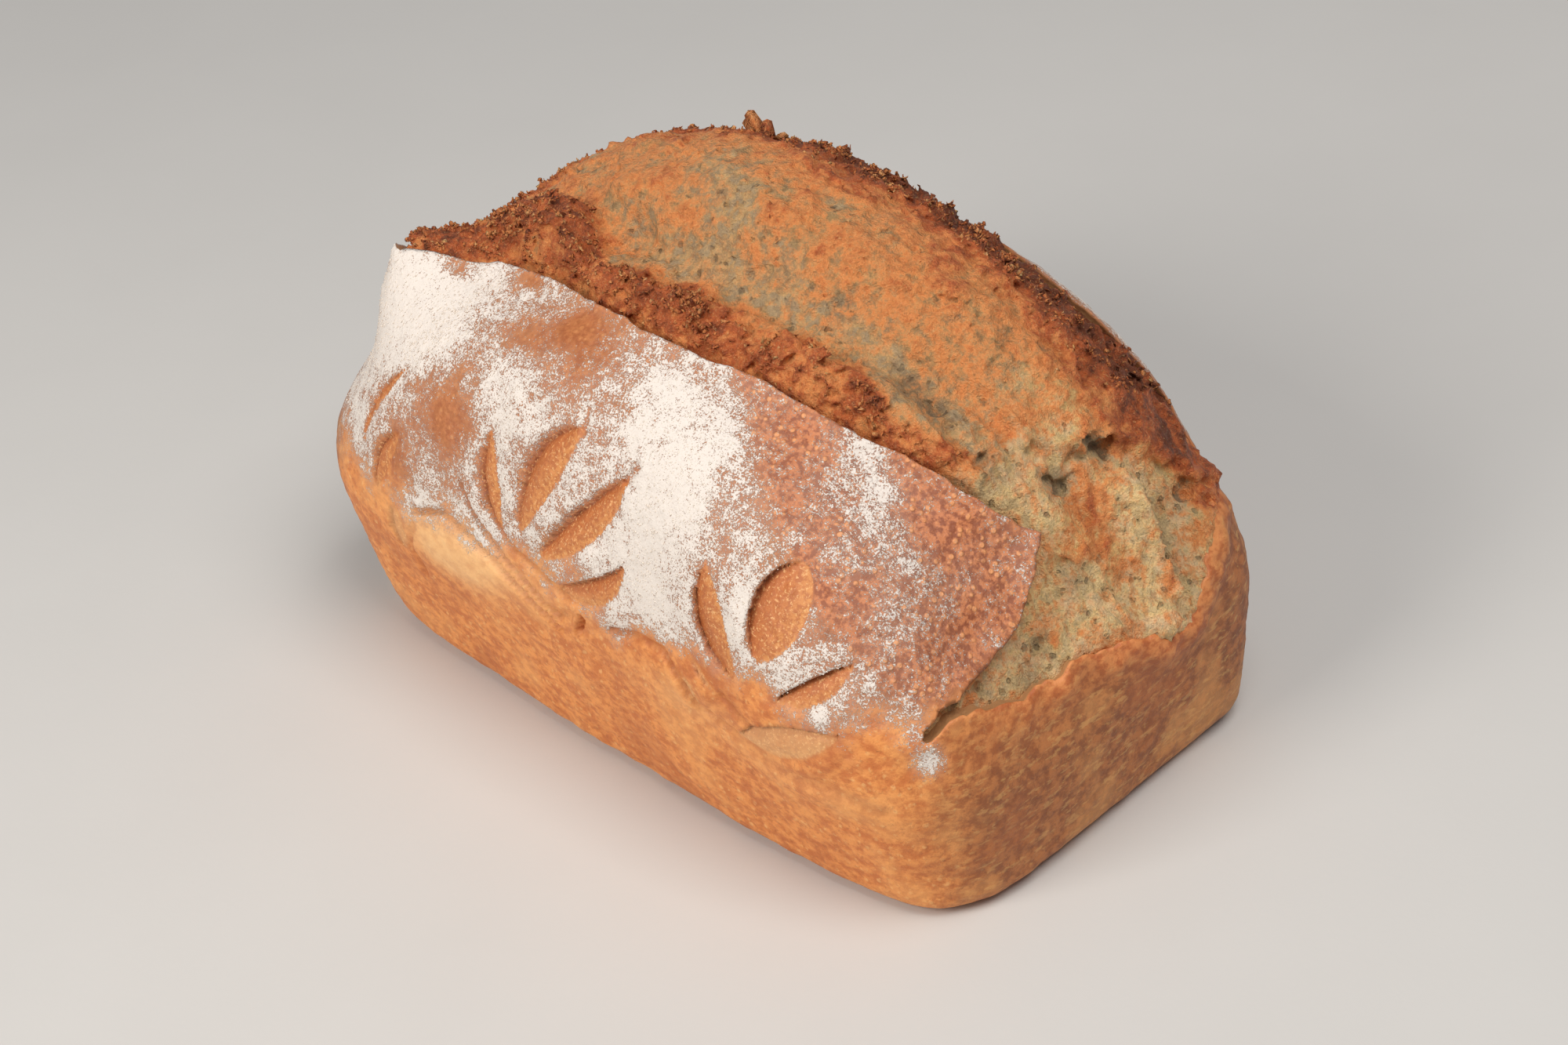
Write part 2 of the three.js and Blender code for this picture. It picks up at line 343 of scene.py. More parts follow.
def leaf_place(flat, leaf):
    """How far along the stroke (0 to 1), millimetres inside the arcs, share of the way across, depth."""
    tip, root, lip, far, pointed, depth = leaf
    stroke = np.subtract(root, tip)
    length = np.linalg.norm(stroke)
    stroke = stroke / length
    rel = flat - tip
    along = rel @ stroke / length
    side = rel @ np.array([-stroke[1], stroke[0]])
    arc = np.clip(4 * along * (1 - along), 0, 1) ** pointed
    width = np.maximum((far - lip) * arc, 0.01)
    inside = np.minimum(side - lip * arc, far * arc - side)
    beyond = np.maximum(np.maximum(-along, along - 1), 0) * length
    inside = np.where(beyond > 0, -np.hypot(beyond, side), inside)
    return along, inside, np.clip((side - lip * arc) / width, 0, 1), depth


print(len(LEAVES), "leaf cuts and", len(CREASES), "creases")

# %% [markdown]
# ## The skin's grid
# The skin is one closed mesh: columns stand round the tin and run up the wall and over the dome, closer
# together where the loaf shows most. Where a column crosses the burst's outline or a leaf's edge, its
# nearest point is pulled exactly onto that edge, so a cut stays crisp however the grid runs. Faces inside
# the burst are dropped, and the hole is closed by a wall that turns in under the lip.

# %% Columns, rows and sharp edges
RING_HALF_LENGTH, RING_HALF_WIDTH, RING_CORNER = 107.0, 61.0, 30.0
CELL = dict(near=0.74, right=0.85, far=1.35, left=1.35)
FOOT_ROWS, WALL_ROWS, DOME_ROWS = 5, 50, 100
# The ring's size at the base and how much it grows up the wall, and the same for the rows under the base
WALL_START, WALL_GROWTH = 0.93, 0.07
FOOT_START, FOOT_GROWTH = 0.9, 0.1
DOME_HEIGHT, DOME_ANGLE = 75.0, math.radians(66)
CENTRE_LINE = 60.0
# The flap's map is used where y is below this
NEAR_SIDE = -25


def ring_points():
    """Points round a rounded rectangle, starting at the left end of the near side."""
    a, b, r = RING_HALF_LENGTH - RING_CORNER, RING_HALF_WIDTH - RING_CORNER, RING_CORNER
    sides = [
        ((-a, -b - r), (a, -b - r), (a, -b), -90, "near"),
        ((a + r, -b), (a + r, b), (a, b), 0, "right"),
        ((a, b + r), (-a, b + r), (-a, b), 90, "far"),
        ((-a - r, b), (-a - r, -b), (-a, -b), 180, "left"),
    ]
    points = []
    for start, end, middle, angle, name in sides:
        steps = round(math.dist(start, end) / CELL[name])
        points += [np.add(start, np.subtract(end, start) * k / steps) for k in range(steps)]
        steps = round(math.pi / 2 * r / CELL[name])
        turn = np.radians(angle + 90 * np.arange(steps) / steps)
        points += list(np.add(middle, np.stack([np.cos(turn), np.sin(turn)], 1) * r))
    return np.array(points)


def skin_directions():
    ring = ring_points()
    centre = np.stack([np.clip(ring[:, 0], -CENTRE_LINE, CENTRE_LINE), ring[:, 1] * 0], 1)
    rows = []
    for k in range(FOOT_ROWS):
        share = FOOT_START + FOOT_GROWTH * k / FOOT_ROWS
        rows.append(np.c_[ring * share * WALL_START, np.zeros(len(ring))])
    for k in range(WALL_ROWS):
        share = k / WALL_ROWS
        rows.append(np.c_[ring * (WALL_START + WALL_GROWTH * share), np.full(len(ring), HEART[2] * share)])
    for k in range(DOME_ROWS + 1):
        angle = DOME_ANGLE * k / DOME_ROWS
        height = HEART[2] + DOME_HEIGHT * math.sin(angle)
        rows.append(np.c_[centre + (ring - centre) * math.cos(angle), np.full(len(ring), height)])
    return unit(np.array(rows) - HEART), len(ring)


def grid_quads(rows, columns):
    row, column = np.meshgrid(np.arange(rows - 1), np.arange(columns), indexing="ij")
    after = (column + 1) % columns
    return np.stack([row * columns + column, row * columns + after,
                     (row + 1) * columns + after, (row + 1) * columns + column], -1).reshape(-1, 4)


def pull_onto_edge(directions, value, pairs, free):
    """Moves the nearest end of each pair that the edge value = 0 crosses onto that edge."""
    a, b = pairs[(value[pairs[:, 0]] * value[pairs[:, 1]]) < 0].T
    t = value[a] / (value[a] - value[b])
    near = np.where(t < 0.5, a, b)
    gap = np.minimum(t, 1 - t)
    place = directions[a] + (directions[b] - directions[a]) * t[:, None]
    keep = free[near]
    order = np.argsort(-gap[keep])
    near, place = near[keep][order], place[keep][order]
    directions[near] = unit(place)
    value[near] = 0
    free[near] = False


def split_quads(quads, value):
    """Two triangles for each quad, cut along the edge where the edge runs corner to corner."""
    corner = value[quads]
    first = (corner[:, 0] == 0) & (corner[:, 2] == 0)
    second = (corner[:, 1] == 0) & (corner[:, 3] == 0)
    other = np.where(first, False, second) | (~first & ~second & (np.arange(len(quads)) % 2 == 1))
    straight = quads[:, [0, 1, 2, 0, 2, 3]]
    crossed = quads[:, [1, 2, 3, 1, 3, 0]]
    return np.where(other[:, None], crossed, straight).reshape(-1, 3)


directions, COLUMNS = skin_directions()
ROWS = len(directions)
directions = directions.reshape(-1, 3)
quads = grid_quads(ROWS, COLUMNS)
pairs = np.vstack([quads[:, [0, 1]], quads[:, [1, 2]]])
skin = HEART + directions * throw(directions)[:, None]
free = np.ones(len(skin), bool)
burst_value = inside_outline(laid_flat(skin))
pull_onto_edge(directions, burst_value, pairs, free)
edge_value = burst_value.copy()
leaf_side = skin[:, 1] < NEAR_SIDE
for leaf in LEAVES:
    value = np.where(leaf_side, leaf_place(flap_map(skin), leaf)[1], -9.0)
    value[~free] = np.where(np.abs(value[~free]) < 0.2, 0, value[~free])
    pull_onto_edge(directions, value, pairs, free)
    edge_value = np.where(value == 0, 0, edge_value)
reach = throw(directions)
skin = HEART + directions * reach[:, None]
print("skin grid:", ROWS, "rows of", COLUMNS, "columns")

# %% [markdown]
# ## Relief of the skin
# The lip stands a little proud, because the skin dried while the dough below it still grew, and under the
# right end's tear the crust rolled over. Leaves and creases are pushed in, and below them the dough swelled
# out in two places. The walls carry faint level stretch marks, all of the skin has fine pits, and the flap's
# right third has blisters. Everything is added along the rays, in millimetres.

# %% Push the skin in and out
LIP_HEIGHT, LIP_SPREAD = 1.3, 3.2
BLISTER_SIZE, BLISTER_HEIGHT = 3.4, 0.45
CREASE_DEPTH = 1.3
SWELLING_HEIGHT = 1.5
# Where the dough swelled below the leaves, on the flap's map
SWELLINGS = [((-44, 1), (15, 8), 1.0), ((62, -12), (16, 3.5), 0.8)]
# The flap ends here at the right, and fades out here round the left end
FLAP_RIGHT = (93, 89)
FLAP_LEFT = dict(x=(-86, -98), y=(-42, -14))


def leaf_relief(flat, near_side):
    """Depth below the skin, how much of each point is leaf, and share of the way to the far arc."""
    depth = np.zeros(len(flat))
    leafness = np.zeros(len(flat))
    to_far_arc = np.zeros(len(flat))
    for leaf in LEAVES:
        along, inside, across, deepest = leaf_place(flat, leaf)
        inside = np.where(near_side, inside, -9)
        ends = np.clip(4 * np.clip(along, 0, 1) * (1 - np.clip(along, 0, 1)), 0, 1) ** 0.5
        floor = deepest * (1 - across) ** 1.5 * ends - 0.7 * np.sin(np.pi * across) ** 2 * ends
        depth = np.where(inside > 0.05, floor, depth)
        lip = 0.5 * ends * ramp(-2.6, 0, inside) * (across < 0.5) + 0.6 * ends * bell((inside + 3) / 2.2)
        depth = np.where(inside <= 0.05, depth - lip, depth)
        leafness = np.maximum(leafness, ramp(-0.1, 0.35, inside))
        to_far_arc = np.where(inside > 0, across, to_far_arc)
    return depth, leafness, to_far_arc


def crease_relief(flat, near_side):
    depth = np.zeros(len(flat))
    for path, half, deep in CREASES:
        gap = np.where(near_side, path_distance(flat, path), 99)
        depth = np.maximum(depth, deep * bell(gap / half)) - 0.4 * deep * bell((gap - 2.4 * half) / half)
    return CREASE_DEPTH * depth


def blisters(points, amount):
    gap, which = bubbles(points, BLISTER_SIZE, 11)
    size = 0.25 + 0.35 * which
    return BLISTER_HEIGHT * np.sqrt(np.clip(1 - (gap / size) ** 2, 0, 1)) * (which < 0.55) * amount


def end_roll(points):
    """Height of the rolled crust under the right end's tear."""
    return 0.5 + 2.3 * np.clip(layered(points, 13, 3, 45) + 0.4, 0, 1)


near_side = skin[:, 1] < NEAR_SIDE
on_flap = (skin[:, 1] < 0) * ramp(*FLAP_RIGHT, skin[:, 0])
on_flap *= 1 - ramp(*FLAP_LEFT["x"], skin[:, 0]) * ramp(*FLAP_LEFT["y"], skin[:, 1])
flat = flap_map(skin)
leaf_depth, leafness, leaf_far = leaf_relief(flat, near_side)
crease_depth = crease_relief(flat, near_side)
above_base = skin[:, 2]
wall = 1 - ramp(44, 58, above_base)
blister_zone = ramp(20, 60, skin[:, 0]) * ramp(55, 66, above_base) * near_side
edge_gap = np.maximum(-burst_value, 0)
near_lip = bell(path_distance(laid_flat(skin), laid_flat(np.array(EAR + FLAP_END, float))) / 12)
end_lip = ramp(80, 90, skin[:, 0]) * (1 - near_lip)
lip = bell(edge_gap / LIP_SPREAD) * (LIP_HEIGHT * near_lip + 0.1)
lip += end_lip * end_roll(skin) * bell((edge_gap - 2) / 4)
swelling = blobs(flat, SWELLINGS) * near_side
stretch = lumps(skin * [0.22, 0.22, 1.0], 2.6, 21) * 0.14 + lumps(skin * [0.3, 0.3, 1.0], 1.3, 22) * 0.08
pits = layered(skin, 2.4, 3, 31) * 0.12
waves = layered(skin, 34, 3, 41) * 0.9
knobbly = layered(skin, 7, 3, 51) * 0.28
base_rag = np.maximum(lumps(skin, 7, 61), 0) * 1.1 * bell((above_base - 1) / 3.5)
relief = (
    lip - leaf_depth - crease_depth + waves + knobbly * (1 - 0.5 * wall) + pits
    + stretch * wall + blisters(skin, blister_zone) + base_rag + SWELLING_HEIGHT * swelling
)
relief *= ramp(0.0, 5.0, above_base)
print("skin relief runs from", relief.min().round(2), "to", relief.max().round(2), "mm")

# %% [markdown]
# ## Closing the skin
# A thin skin with a hole in it would show its back. So the faces inside the burst go, and from the tear's
# edge a wall turns in under the lip and goes down, where a cap at the loaf's heart closes it. The base gets
# a cap too, which makes the skin one closed body.

# %% Close the skin
# The wall under the lip: how deep each ring lies and how far under the lip it reaches
UNDER_LIP = [(0.9, 0.5), (2.2, 0.9), (5.0, 0.6), (9.0, 0.0)]


def drop_burst(triangles, value):
    return triangles[~(value[triangles] > 0).any(axis=1)]


def rim_loops(faces):
    """The points round each hole, in order, the longest loop last."""
    edges = np.vstack([np.stack([faces[:, k - 1], faces[:, k]], 1) for k in range(faces.shape[1])])
    known = set(map(tuple, edges.tolist()))
    after = {}
    for a, b in edges.tolist():
        if (b, a) not in known:
            after.setdefault(a, []).append(b)
    loops = []
    while after:
        start = next(iter(after))
        loop, here = [], start
        while here in after:
            loop.append(here)
            choices = after[here]
            there = choices.pop()
            if not choices:
                del after[here]
            here = there
        loops.append(loop)
    return sorted(loops, key=len)


def fan(loop, middle):
    return [(b, a, middle) for a, b in zip(loop, loop[1:] + loop[:1])]


def strip(upper, lower):
    faces = []
    for a, b, c, d in zip(upper, upper[1:] + upper[:1], lower, lower[1:] + lower[:1]):
        faces += [(b, a, c), (b, c, d)]
    return faces


def largest_body(faces, count):
    """Drops bits of a mesh that hang together with nothing: each body's points take its lowest number."""
    label = np.full(count, -1)
    lower = np.arange(count)
    while (lower != label).any():
        label = lower
        lowest = label[faces].min(axis=1)
        lower = label.copy()
        for corner in faces.T:
            np.minimum.at(lower, corner, lowest)
        lower = lower[lower]
    owner = label[faces[:, 0]]
    return faces[owner == np.bincount(owner).argmax()]


triangles = drop_burst(split_quads(quads, edge_value), burst_value)
triangles = largest_body(triangles, len(skin))
loops = rim_loops(triangles)
rim = loops[-1]
base_ring = loops[0]
print("the burst's edge has", len(rim), "points and the base", len(base_ring))


def close_skin(points, rays, triangles):
    """Adds a wall under the lip, a cap behind it and the base.

    Returns points, faces and, for each point, the point of the skin that it takes its masks from."""
    loop = np.array(rim)
    tangent = np.roll(points[loop], -3, axis=0) - np.roll(points[loop], 3, axis=0)
    under = unit(np.cross(rays[loop], unit(tangent)))
    points, source = list(points), list(range(len(points)))
    faces = triangles.tolist()
    upper = rim
    for depth, out in UNDER_LIP:
        lower = list(range(len(points), len(points) + len(rim)))
        points += list(np.array(points)[loop] - rays[loop] * depth + under * out)
        source += rim
        faces += strip(upper, lower)
        upper = lower
    for ring, middle in ((upper, HEART), (base_ring, HEART * 0)):
        faces += fan(ring, len(points))
        points.append(middle)
        source.append(ring[0] if ring is base_ring else rim[0])
    return np.array(points), faces, np.array(source)


full_skin = HEART + directions * (reach + relief)[:, None]
full_skin[:, 2] = np.maximum(full_skin[:, 2], 0)
skin_points, skin_faces, skin_source = close_skin(full_skin, directions, triangles)
print("skin:", len(skin_points), "points,", len(skin_faces), "faces")

# %% [markdown]
# ## Where the flour lies and how the skin browned
# Flour fell on the proved dough, mostly on the flap, and wiped or burnt off in patches. It is written down
# as soft blobs on the flap's map: a place, a reach along and up, and how much flour they add or take. The
# powder's grain comes later, in the material. Leaves have no flour and creases have little, because they
# opened after dusting. Other masks say where the skin is cream, red, rolled or like the darker end walls,
# whose darkness is partly painted shade, and how deep the creases are, for the painted shade in them.

# %% Masks over the skin
FLOUR_BLOBS = [
    ((-77, 55), (17, 22), 0.50), ((-88, 30), (10, 16), 0.30), ((-60, 58), (14, 14), 0.28),
    ((-27, 42), (9, 14), 0.34), ((14, 60), (13, 13), 0.30), ((18, 36), (14, 15), 0.42),
    ((32, 50), (9, 12), 0.32), ((26, 17), (11, 9), 0.26), ((-8, 30), (13, 12), 0.26),
    ((-46, 12), (12, 8), 0.24), ((-14, 12), (12, 6), 0.14), ((8, 16), (12, 8), 0.22),
    ((-48, 36), (8, 11), -0.44), ((-20, 64), (9, 9), -0.48), ((-10, 55), (5, 6), -0.26),
    ((-68, 67), (5, 3), -0.45), ((-44, 71), (7, 2.5), -0.40), ((-63, 20), (7, 9), -0.42),
    ((-35, 58), (8, 5), -0.20), ((52, 73), (5, 5), 0.46), ((59, 66), (6, 6), 0.50),
    ((66, 58), (6, 6), 0.36), ((73, 52), (6, 4), 0.30), ((64, 17), (10, 6), 0.16),
    ((50, 24), (5, 12), 0.30), ((-26, 8), (12, 5), 0.20), ((60, 46), (9, 5), 0.14), ((78, 30), (9, 12), 0.02),
]
FLOUR_PLAIN, FLOUR_RIGHT = 0.48, 0.27
# The line on the flap's map past which the skin is redder and has less flour
RIGHT_LINE = dict(x=23.0, up=70.0, slope=1.15, soft=5.0)
FLOUR_FOOT, RED_FOOT = (-1.0, 20.0), (4, 22)
FAR_FLOUR, EDGE_FLOUR, LEFT_FLOUR = 0.62, 0.5, 0.6
CREASE_FLOUR_LOSS = 0.6
# A last dab of flour on the corner below the slit
FLOUR_DAB = dict(place=(91, -47, 44), reach=(3.4, 3.4, 4), amount=0.85)
# Cream dough between the leaves' roots, on the flap's map
CREAM_ROOTS = [((-24, 5), (24, 6), 1.0), ((34, -4), (20, 5), 0.7)]


def flour_on_flap(flat):
    line = RIGHT_LINE["x"] + (RIGHT_LINE["up"] - flat[:, 1]) * RIGHT_LINE["slope"]
    right = ramp(-RIGHT_LINE["soft"], RIGHT_LINE["soft"], flat[:, 0] - line)
    right *= ramp(26, 44, flat[:, 0] + 0.3 * flat[:, 1])
    amount = FLOUR_PLAIN + (FLOUR_RIGHT - FLOUR_PLAIN) * right
    return blobs(flat, FLOUR_BLOBS, amount), right


clouds = layered(skin, 16, 4, 101, 0.6)
up_flap = flat[:, 1] + 7 * clouds
flour, right_part = flour_on_flap(flat)
flour = flour * ramp(*FLOUR_FOOT, up_flap)
flour = on_flap * (flour + clouds * 0.2 * ramp(0.02, 0.3, flour))
far_flour = FAR_FLOUR * ramp(58, 80, above_base) * ramp(24, 40, skin[:, 1])
far_flour = far_flour * (0.4 + 0.6 * ramp(20, -20, skin[:, 0])) * (1 + 0.35 * clouds)
far_flour += EDGE_FLOUR * bell((edge_gap - 5) / 3) * (skin[:, 0] < 82)
left_flour = LEFT_FLOUR * ramp(58, 80, above_base) * ramp(-80, -94, skin[:, 0]) * (1 + 0.4 * clouds)
others = np.maximum(np.where(skin[:, 1] > 20, far_flour, 0), np.where(skin[:, 0] < -80, left_flour, 0))
flour = np.maximum(flour, others * (1 - on_flap))
dab = bell(np.linalg.norm((skin - FLOUR_DAB["place"]) / FLOUR_DAB["reach"], axis=1))
flour = np.clip(np.maximum(flour, dab * FLOUR_DAB["amount"]), 0, 1)
flour = flour * (1 - leafness) * (1 - CREASE_FLOUR_LOSS * np.clip(crease_depth, 0, 1))
cream = np.clip(swelling * ramp(-16, 4, flat[:, 1]), 0, 1) * (1 - leafness)
roots = blobs(flat, CREAM_ROOTS)
cream = np.clip(1.5 * cream + 0.4 * roots * near_side * (1 - leafness), 0, 1)
cream += 0.5 * leafness * ramp(14, 2, flat[:, 1])
red = (0.75 + 0.25 * right_part) * ramp(*RED_FOOT, up_flap) * on_flap * (1 - leafness)
red = np.maximum(red, 0.55 * ramp(58, 76, above_base) * (skin[:, 1] > 20))
rolled = bell(edge_gap / 5.5) * end_lip
masks = dict(
    flour=flour,
    leaf=leafness,
    leaf_far=leaf_far,
    red=red,
    browned=np.clip(rolled * (0.75 + 0.5 * clouds) + 0.5 * bell(edge_gap / 1.2), 0, 1),
    # how deep a crease is, for the painted shade in it
    crease_shade=np.clip(crease_depth, 0, 2) / 2,
    # end and far walls: darker streaked crust, partly painted shade
    streaked_and_shaded=np.maximum(ramp(86, 102, np.abs(skin[:, 0])), ramp(0, 40, skin[:, 1])),
    cream=cream,
)
skin_masks = {name: value[skin_source] for name, value in masks.items()}
added = np.arange(len(skin_points)) >= len(skin)
skin_masks["torn"] = added.astype(float)
skin_masks["flour"] = np.where(added, 0.0, skin_masks["flour"])
print("floured share of the flap:", flour[near_side & (flat[:, 1] > 10)].mean().round(2))

# %% Turn points and faces into a piece
pieces = []


def make_piece(name, points, faces, masks):
    mesh = bpy.data.meshes.new(name)
    mesh.from_pydata(np.asarray(points) * MM, [], faces)
    for mask, value in masks.items():
        layer = mesh.attributes.new(mask, "FLOAT", "POINT")
        layer.data.foreach_set("value", np.asarray(value, np.float32))
    mesh.validate()
    mesh.shade_smooth()
    piece = bpy.data.objects.new(name, mesh)
    bpy.context.scene.collection.objects.link(piece)
    pieces.append(piece)
    count = sum(len(polygon.vertices) - 2 for polygon in mesh.polygons)
    print(name, "has", len(mesh.vertices), "points and", count, "triangles")
    return piece


crust = make_piece("crust", skin_points, skin_faces, skin_masks)

# %% [markdown]
# ## The torn crumb
# Torn dough has holes, overhanging tufts and strings, which no height map can hold. So it is carved in
# small cubes: each cube gets a number, below zero inside the bread, and the surface where that number is
# zero is made into a mesh by OpenVDB. The number starts as the distance to the burst's broad shape, which
# is a height over the laid-flat map: a ridge behind the ear that rises to a crest at the left and ends
# there in a cliff, a valley, pockets, and torn edges that stand above the pale right end.

# %% The burst's broad shape on the map
# Places behind are measured from the ear towards the far side
RIDGE = dict(height=1.8, behind=7.0, spread=5.0)
CREST = dict(height=8.0, foot=1.5, top=11.0, back=14.0, end=18.0, start=-88.0, full=-42.0)
CLIFF = [(-56, 8), (-46, -4), (-38, -12), (-31, -20)]
VALLEY = dict(depth=5.0, behind=20.0, spread=8.0, start=-32.0, full=-14.0, fade=60.0, end=84.0)
END_HOLLOW = dict(depth=2.5, ramp=8.0, start=60.0, end=84.0)
# A torn edge: its path, which coordinates it is drawn in, its height and how far back it fades. The high
# side is on the path's right.
TORN_EDGES = [
    ([(-30, -20), (-16, -18), (-5, -18), (15, -12), (30, -12), (36, -11), (52, -6), (62, -8), (76, -4)],
     (0, 1), 2.4, 9.0),
    ([(83, 56), (85.3, 50), (85.4, 44), (84.3, 38.7), (83.4, 33), (82.5, 26), (80, 25), (79.4, 22),
      (79.7, 19), (78.8, 14), (74, 6), (65, 7), (57, 5)], (0, 1), 3.4, 9.0),
    ([(26, 74), (26, 66), (25.5, 59), (25, 53), (23, 48), (18, 43), (18, 36)], (1, 2), 5.0, 6.0),
    ([(-18, -9), (-26, -6), (-34, -3), (-46, -2)], (0, 1), 2.4, 6.0),
]
HUMP_END = TORN_EDGES[1][0]
# A hole: a place near it on its ray from the heart, and its radius
HOLES = [
    ((80.6, 24, 77.6), 3.2), ((78, 20, 79), 2.2), ((82.4, 11, 74.7), 2.0), ((80, 8, 77), 1.5),
    ((87.5, 40.4, 59.2), 2.6), ((88.8, 44, 55), 1.8), ((63.4, 25, 95.1), 2.0), ((65, 27, 92.5), 1.8),
    ((59, -3, 94), 2.2), ((17, -16, 105), 1.7), ((-33, -11, 104), 1.8), ((52, -3, 97), 1.8),
    ((70, -4, 84), 1.8), ((30, 0, 110), 1.2), ((92, -30, 51), 1.6), ((94, -18, 47), 1.2),
    ((93, 27.5, 56.5), 1.8), ((95.5, 26, 51), 1.8), ((90.5, 28.5, 61), 1.6), ((91, 2, 59), 1.3),
    ((92, -12, 51), 1.3),
]
# A pocket: its middle seen from above, its reach and its depth
POCKETS = [((-30, -8), (8, 6), 7.0), ((57, -2), (6, 4), 2.0), ((84, 12), (5, 5), 1.6)]
# How pale the first pocket is: its middle, its reach and the amount
PALE_POCKET = ((-30, -8), (7, 5), 1.0)
# Orange spots on the pale end: place, reach and amount
BROWN_SPOTS = [
    ((86, 13, 69), 6, 0.65), ((88, 6, 65), 4.5, 0.5), ((91.5, 12, 59), 5, 0.4), ((91, 25, 59), 3, 0.6),
    ((94, 25, 53), 3, 0.6), ((95.7, 23, 49), 2.5, 0.5), ((97, 18, 43.6), 3, 0.5), ((92.6, -9, 51), 2.5, 0.5),
    ((97, 4, 43), 5, 0.5), ((95.5, -21, 41), 5, 0.4), ((78, -3, 77), 5, 0.2), ((80, 40, 72), 9, 0.5),
    ((83, 18, 74), 5, 0.5), ((93, 36, 52), 5, 0.4), ((88, 27, 65), 3, 0.5), ((91, -16, 53), 2.5, 0.4),
]
# Lines seen from above along which the valley is pale
PALE_PATHS = [
    [(-26, 15), (-21, 9), (-3, 2), (12, -4), (30, -4), (46, -4), (58, -4), (70, 0), (80, 6)],
    [(-34, -11), (-24, -14), (-8, -10), (4, -3)],
]
MAP_STEP = 0.8
MAP_START, MAP_END = np.array([-24.0, -66.0]), np.array([262.0, 66.0])


def map_direction(flat):
    around, aside = (flat / MAP_RADIUS).T
    return np.stack([np.cos(aside) * np.cos(around), np.sin(aside), np.cos(aside) * np.sin(around)], 1)


def side_of_path(flat, path):
    """Signed gap to a path, positive on its right, and the length from the path's nearer end."""
    nearest = np.full(len(flat), np.inf)
    signed, along = nearest.copy(), np.zeros(len(flat))
    corners = np.array(path, float)
    sides = np.diff(corners, axis=0)
    run = np.concatenate([[0], np.cumsum(np.linalg.norm(sides, axis=1))])
    for a, side, start in zip(corners[:-1], sides, run):
        t = np.clip((flat - a) @ side / (side @ side), 0, 1)
        rel = flat - a - t[:, None] * side
        gap = np.linalg.norm(rel, axis=1)
        closer = gap < nearest
        right = side[1] * (flat - a)[:, 0] - side[0] * (flat - a)[:, 1]
        signed = np.where(closer, np.sign(right) * gap, signed)
        along = np.where(closer, start + t * np.linalg.norm(side), along)
        nearest = np.where(closer, gap, nearest)
    return signed, np.minimum(along, run[-1] - along)


axes = [np.arange(a, b, MAP_STEP) for a, b in zip(MAP_START, MAP_END)]
MAP_SHAPE = (len(axes[0]), len(axes[1]))
map_flat = np.stack(np.meshgrid(*axes, indexing="ij"), -1).reshape(-1, 2)
map_rays = map_direction(map_flat)
map_reach = throw(map_rays)
map_skin = HEART + map_rays * map_reach[:, None]
map_inside = inside_outline(map_flat)
near_edge = laid_flat(np.array(EAR + FLAP_END, float))
ear_gap = path_distance(map_flat, near_edge)
by_ear = bell(ear_gap / 14)
behind = map_skin[:, 1] - np.interp(map_skin[:, 0], [p[0] for p in EAR], [p[1] for p in EAR])
x, y, z = map_skin.T

wobble = layered(map_skin, 7, 3, 111)
ridge = RIDGE["height"] * bell((behind - RIDGE["behind"]) / RIDGE["spread"])
crest = ramp(CREST["foot"], CREST["top"], behind)
crest = crest * (1 - ramp(CREST["back"], CREST["end"], behind + 2 * wobble))
past_cliff = ramp(-0.8, 1.4, side_of_path(map_skin[:, :2], CLIFF)[0] + wobble)
crest *= ramp(CREST["start"], CREST["full"], x) * past_cliff
length = ramp(VALLEY["start"], VALLEY["full"], x) * (1 - ramp(VALLEY["fade"], VALLEY["end"], x))
valley = VALLEY["depth"] * bell((behind - VALLEY["behind"]) / VALLEY["spread"]) * length
end_hollow = END_HOLLOW["depth"] * ramp(0, END_HOLLOW["ramp"], map_inside)
end_hollow *= ramp(END_HOLLOW["start"], END_HOLLOW["end"], x)
hollows = blobs(map_skin[:, :2], POCKETS)
torn_edges = 0
for path, plane, height, back in TORN_EDGES:
    signed, along = side_of_path(map_skin[:, plane], path)
    signed = signed + wobble * 1.6
    step = height * ramp(-0.5, 1.1, signed) * bell(np.maximum(signed, 0) / back) * ramp(0, 5, along)
    torn_edges = torn_edges + step
tuck = np.maximum(-map_inside, 0)
at_end = ramp(80, 90, x) * (1 - by_ear)
below_lip = by_ear * (2.5 - 1.3 * ramp(0, 8, map_inside))
below_lip += (1 - by_ear) * (0.3 - 0.1 * at_end) * (1 - ramp(0, 6, map_inside))
below_lip += tuck * (0.5 + 0.3 * by_ear)
broad = (ridge + CREST["height"] * crest - valley - hollows + torn_edges) * ramp(0, 3, map_inside)
broad += at_end * end_roll(map_skin) * bell(np.minimum(map_inside + 2, 0) / 4) * (1 - ramp(0, 7, map_inside))
broad -= end_hollow + below_lip
print("the burst's broad shape runs from", broad.min().round(1), "to", broad.max().round(1), "mm")

# %% [markdown]
# ## Brown tufts and pale valleys
# What stuck out into the oven's heat browned and dried to tufts; what tore open last, in the valley and at
# the right end, stayed pale, with stretched strings and long pores. One mask, the fluff, says which is
# which, and a second says where the tufts are most ragged. They set how rough the tearing is here and how
# brown the material is later. The largest holes are cut one by one, each at the torn surface on its ray.

# %% Tear the crumb in small cubes
# A cube's size, and how far from the broad surface the tearing is worked out
VOXEL, BAND = 0.72, 5.0
# How thick the carved layer is, and how deep under the surface its faces are kept
SOLID_UNDER, KEPT_UNDER = 9.0, 6.5
# How far the crumb runs on under the skin's edge
TUCK = 4.0
# The carved box: how far it reaches under and over the skin, and its lowest height
BOX_UNDER, BOX_OVER, BOX_LOWEST = 12, 8, 24


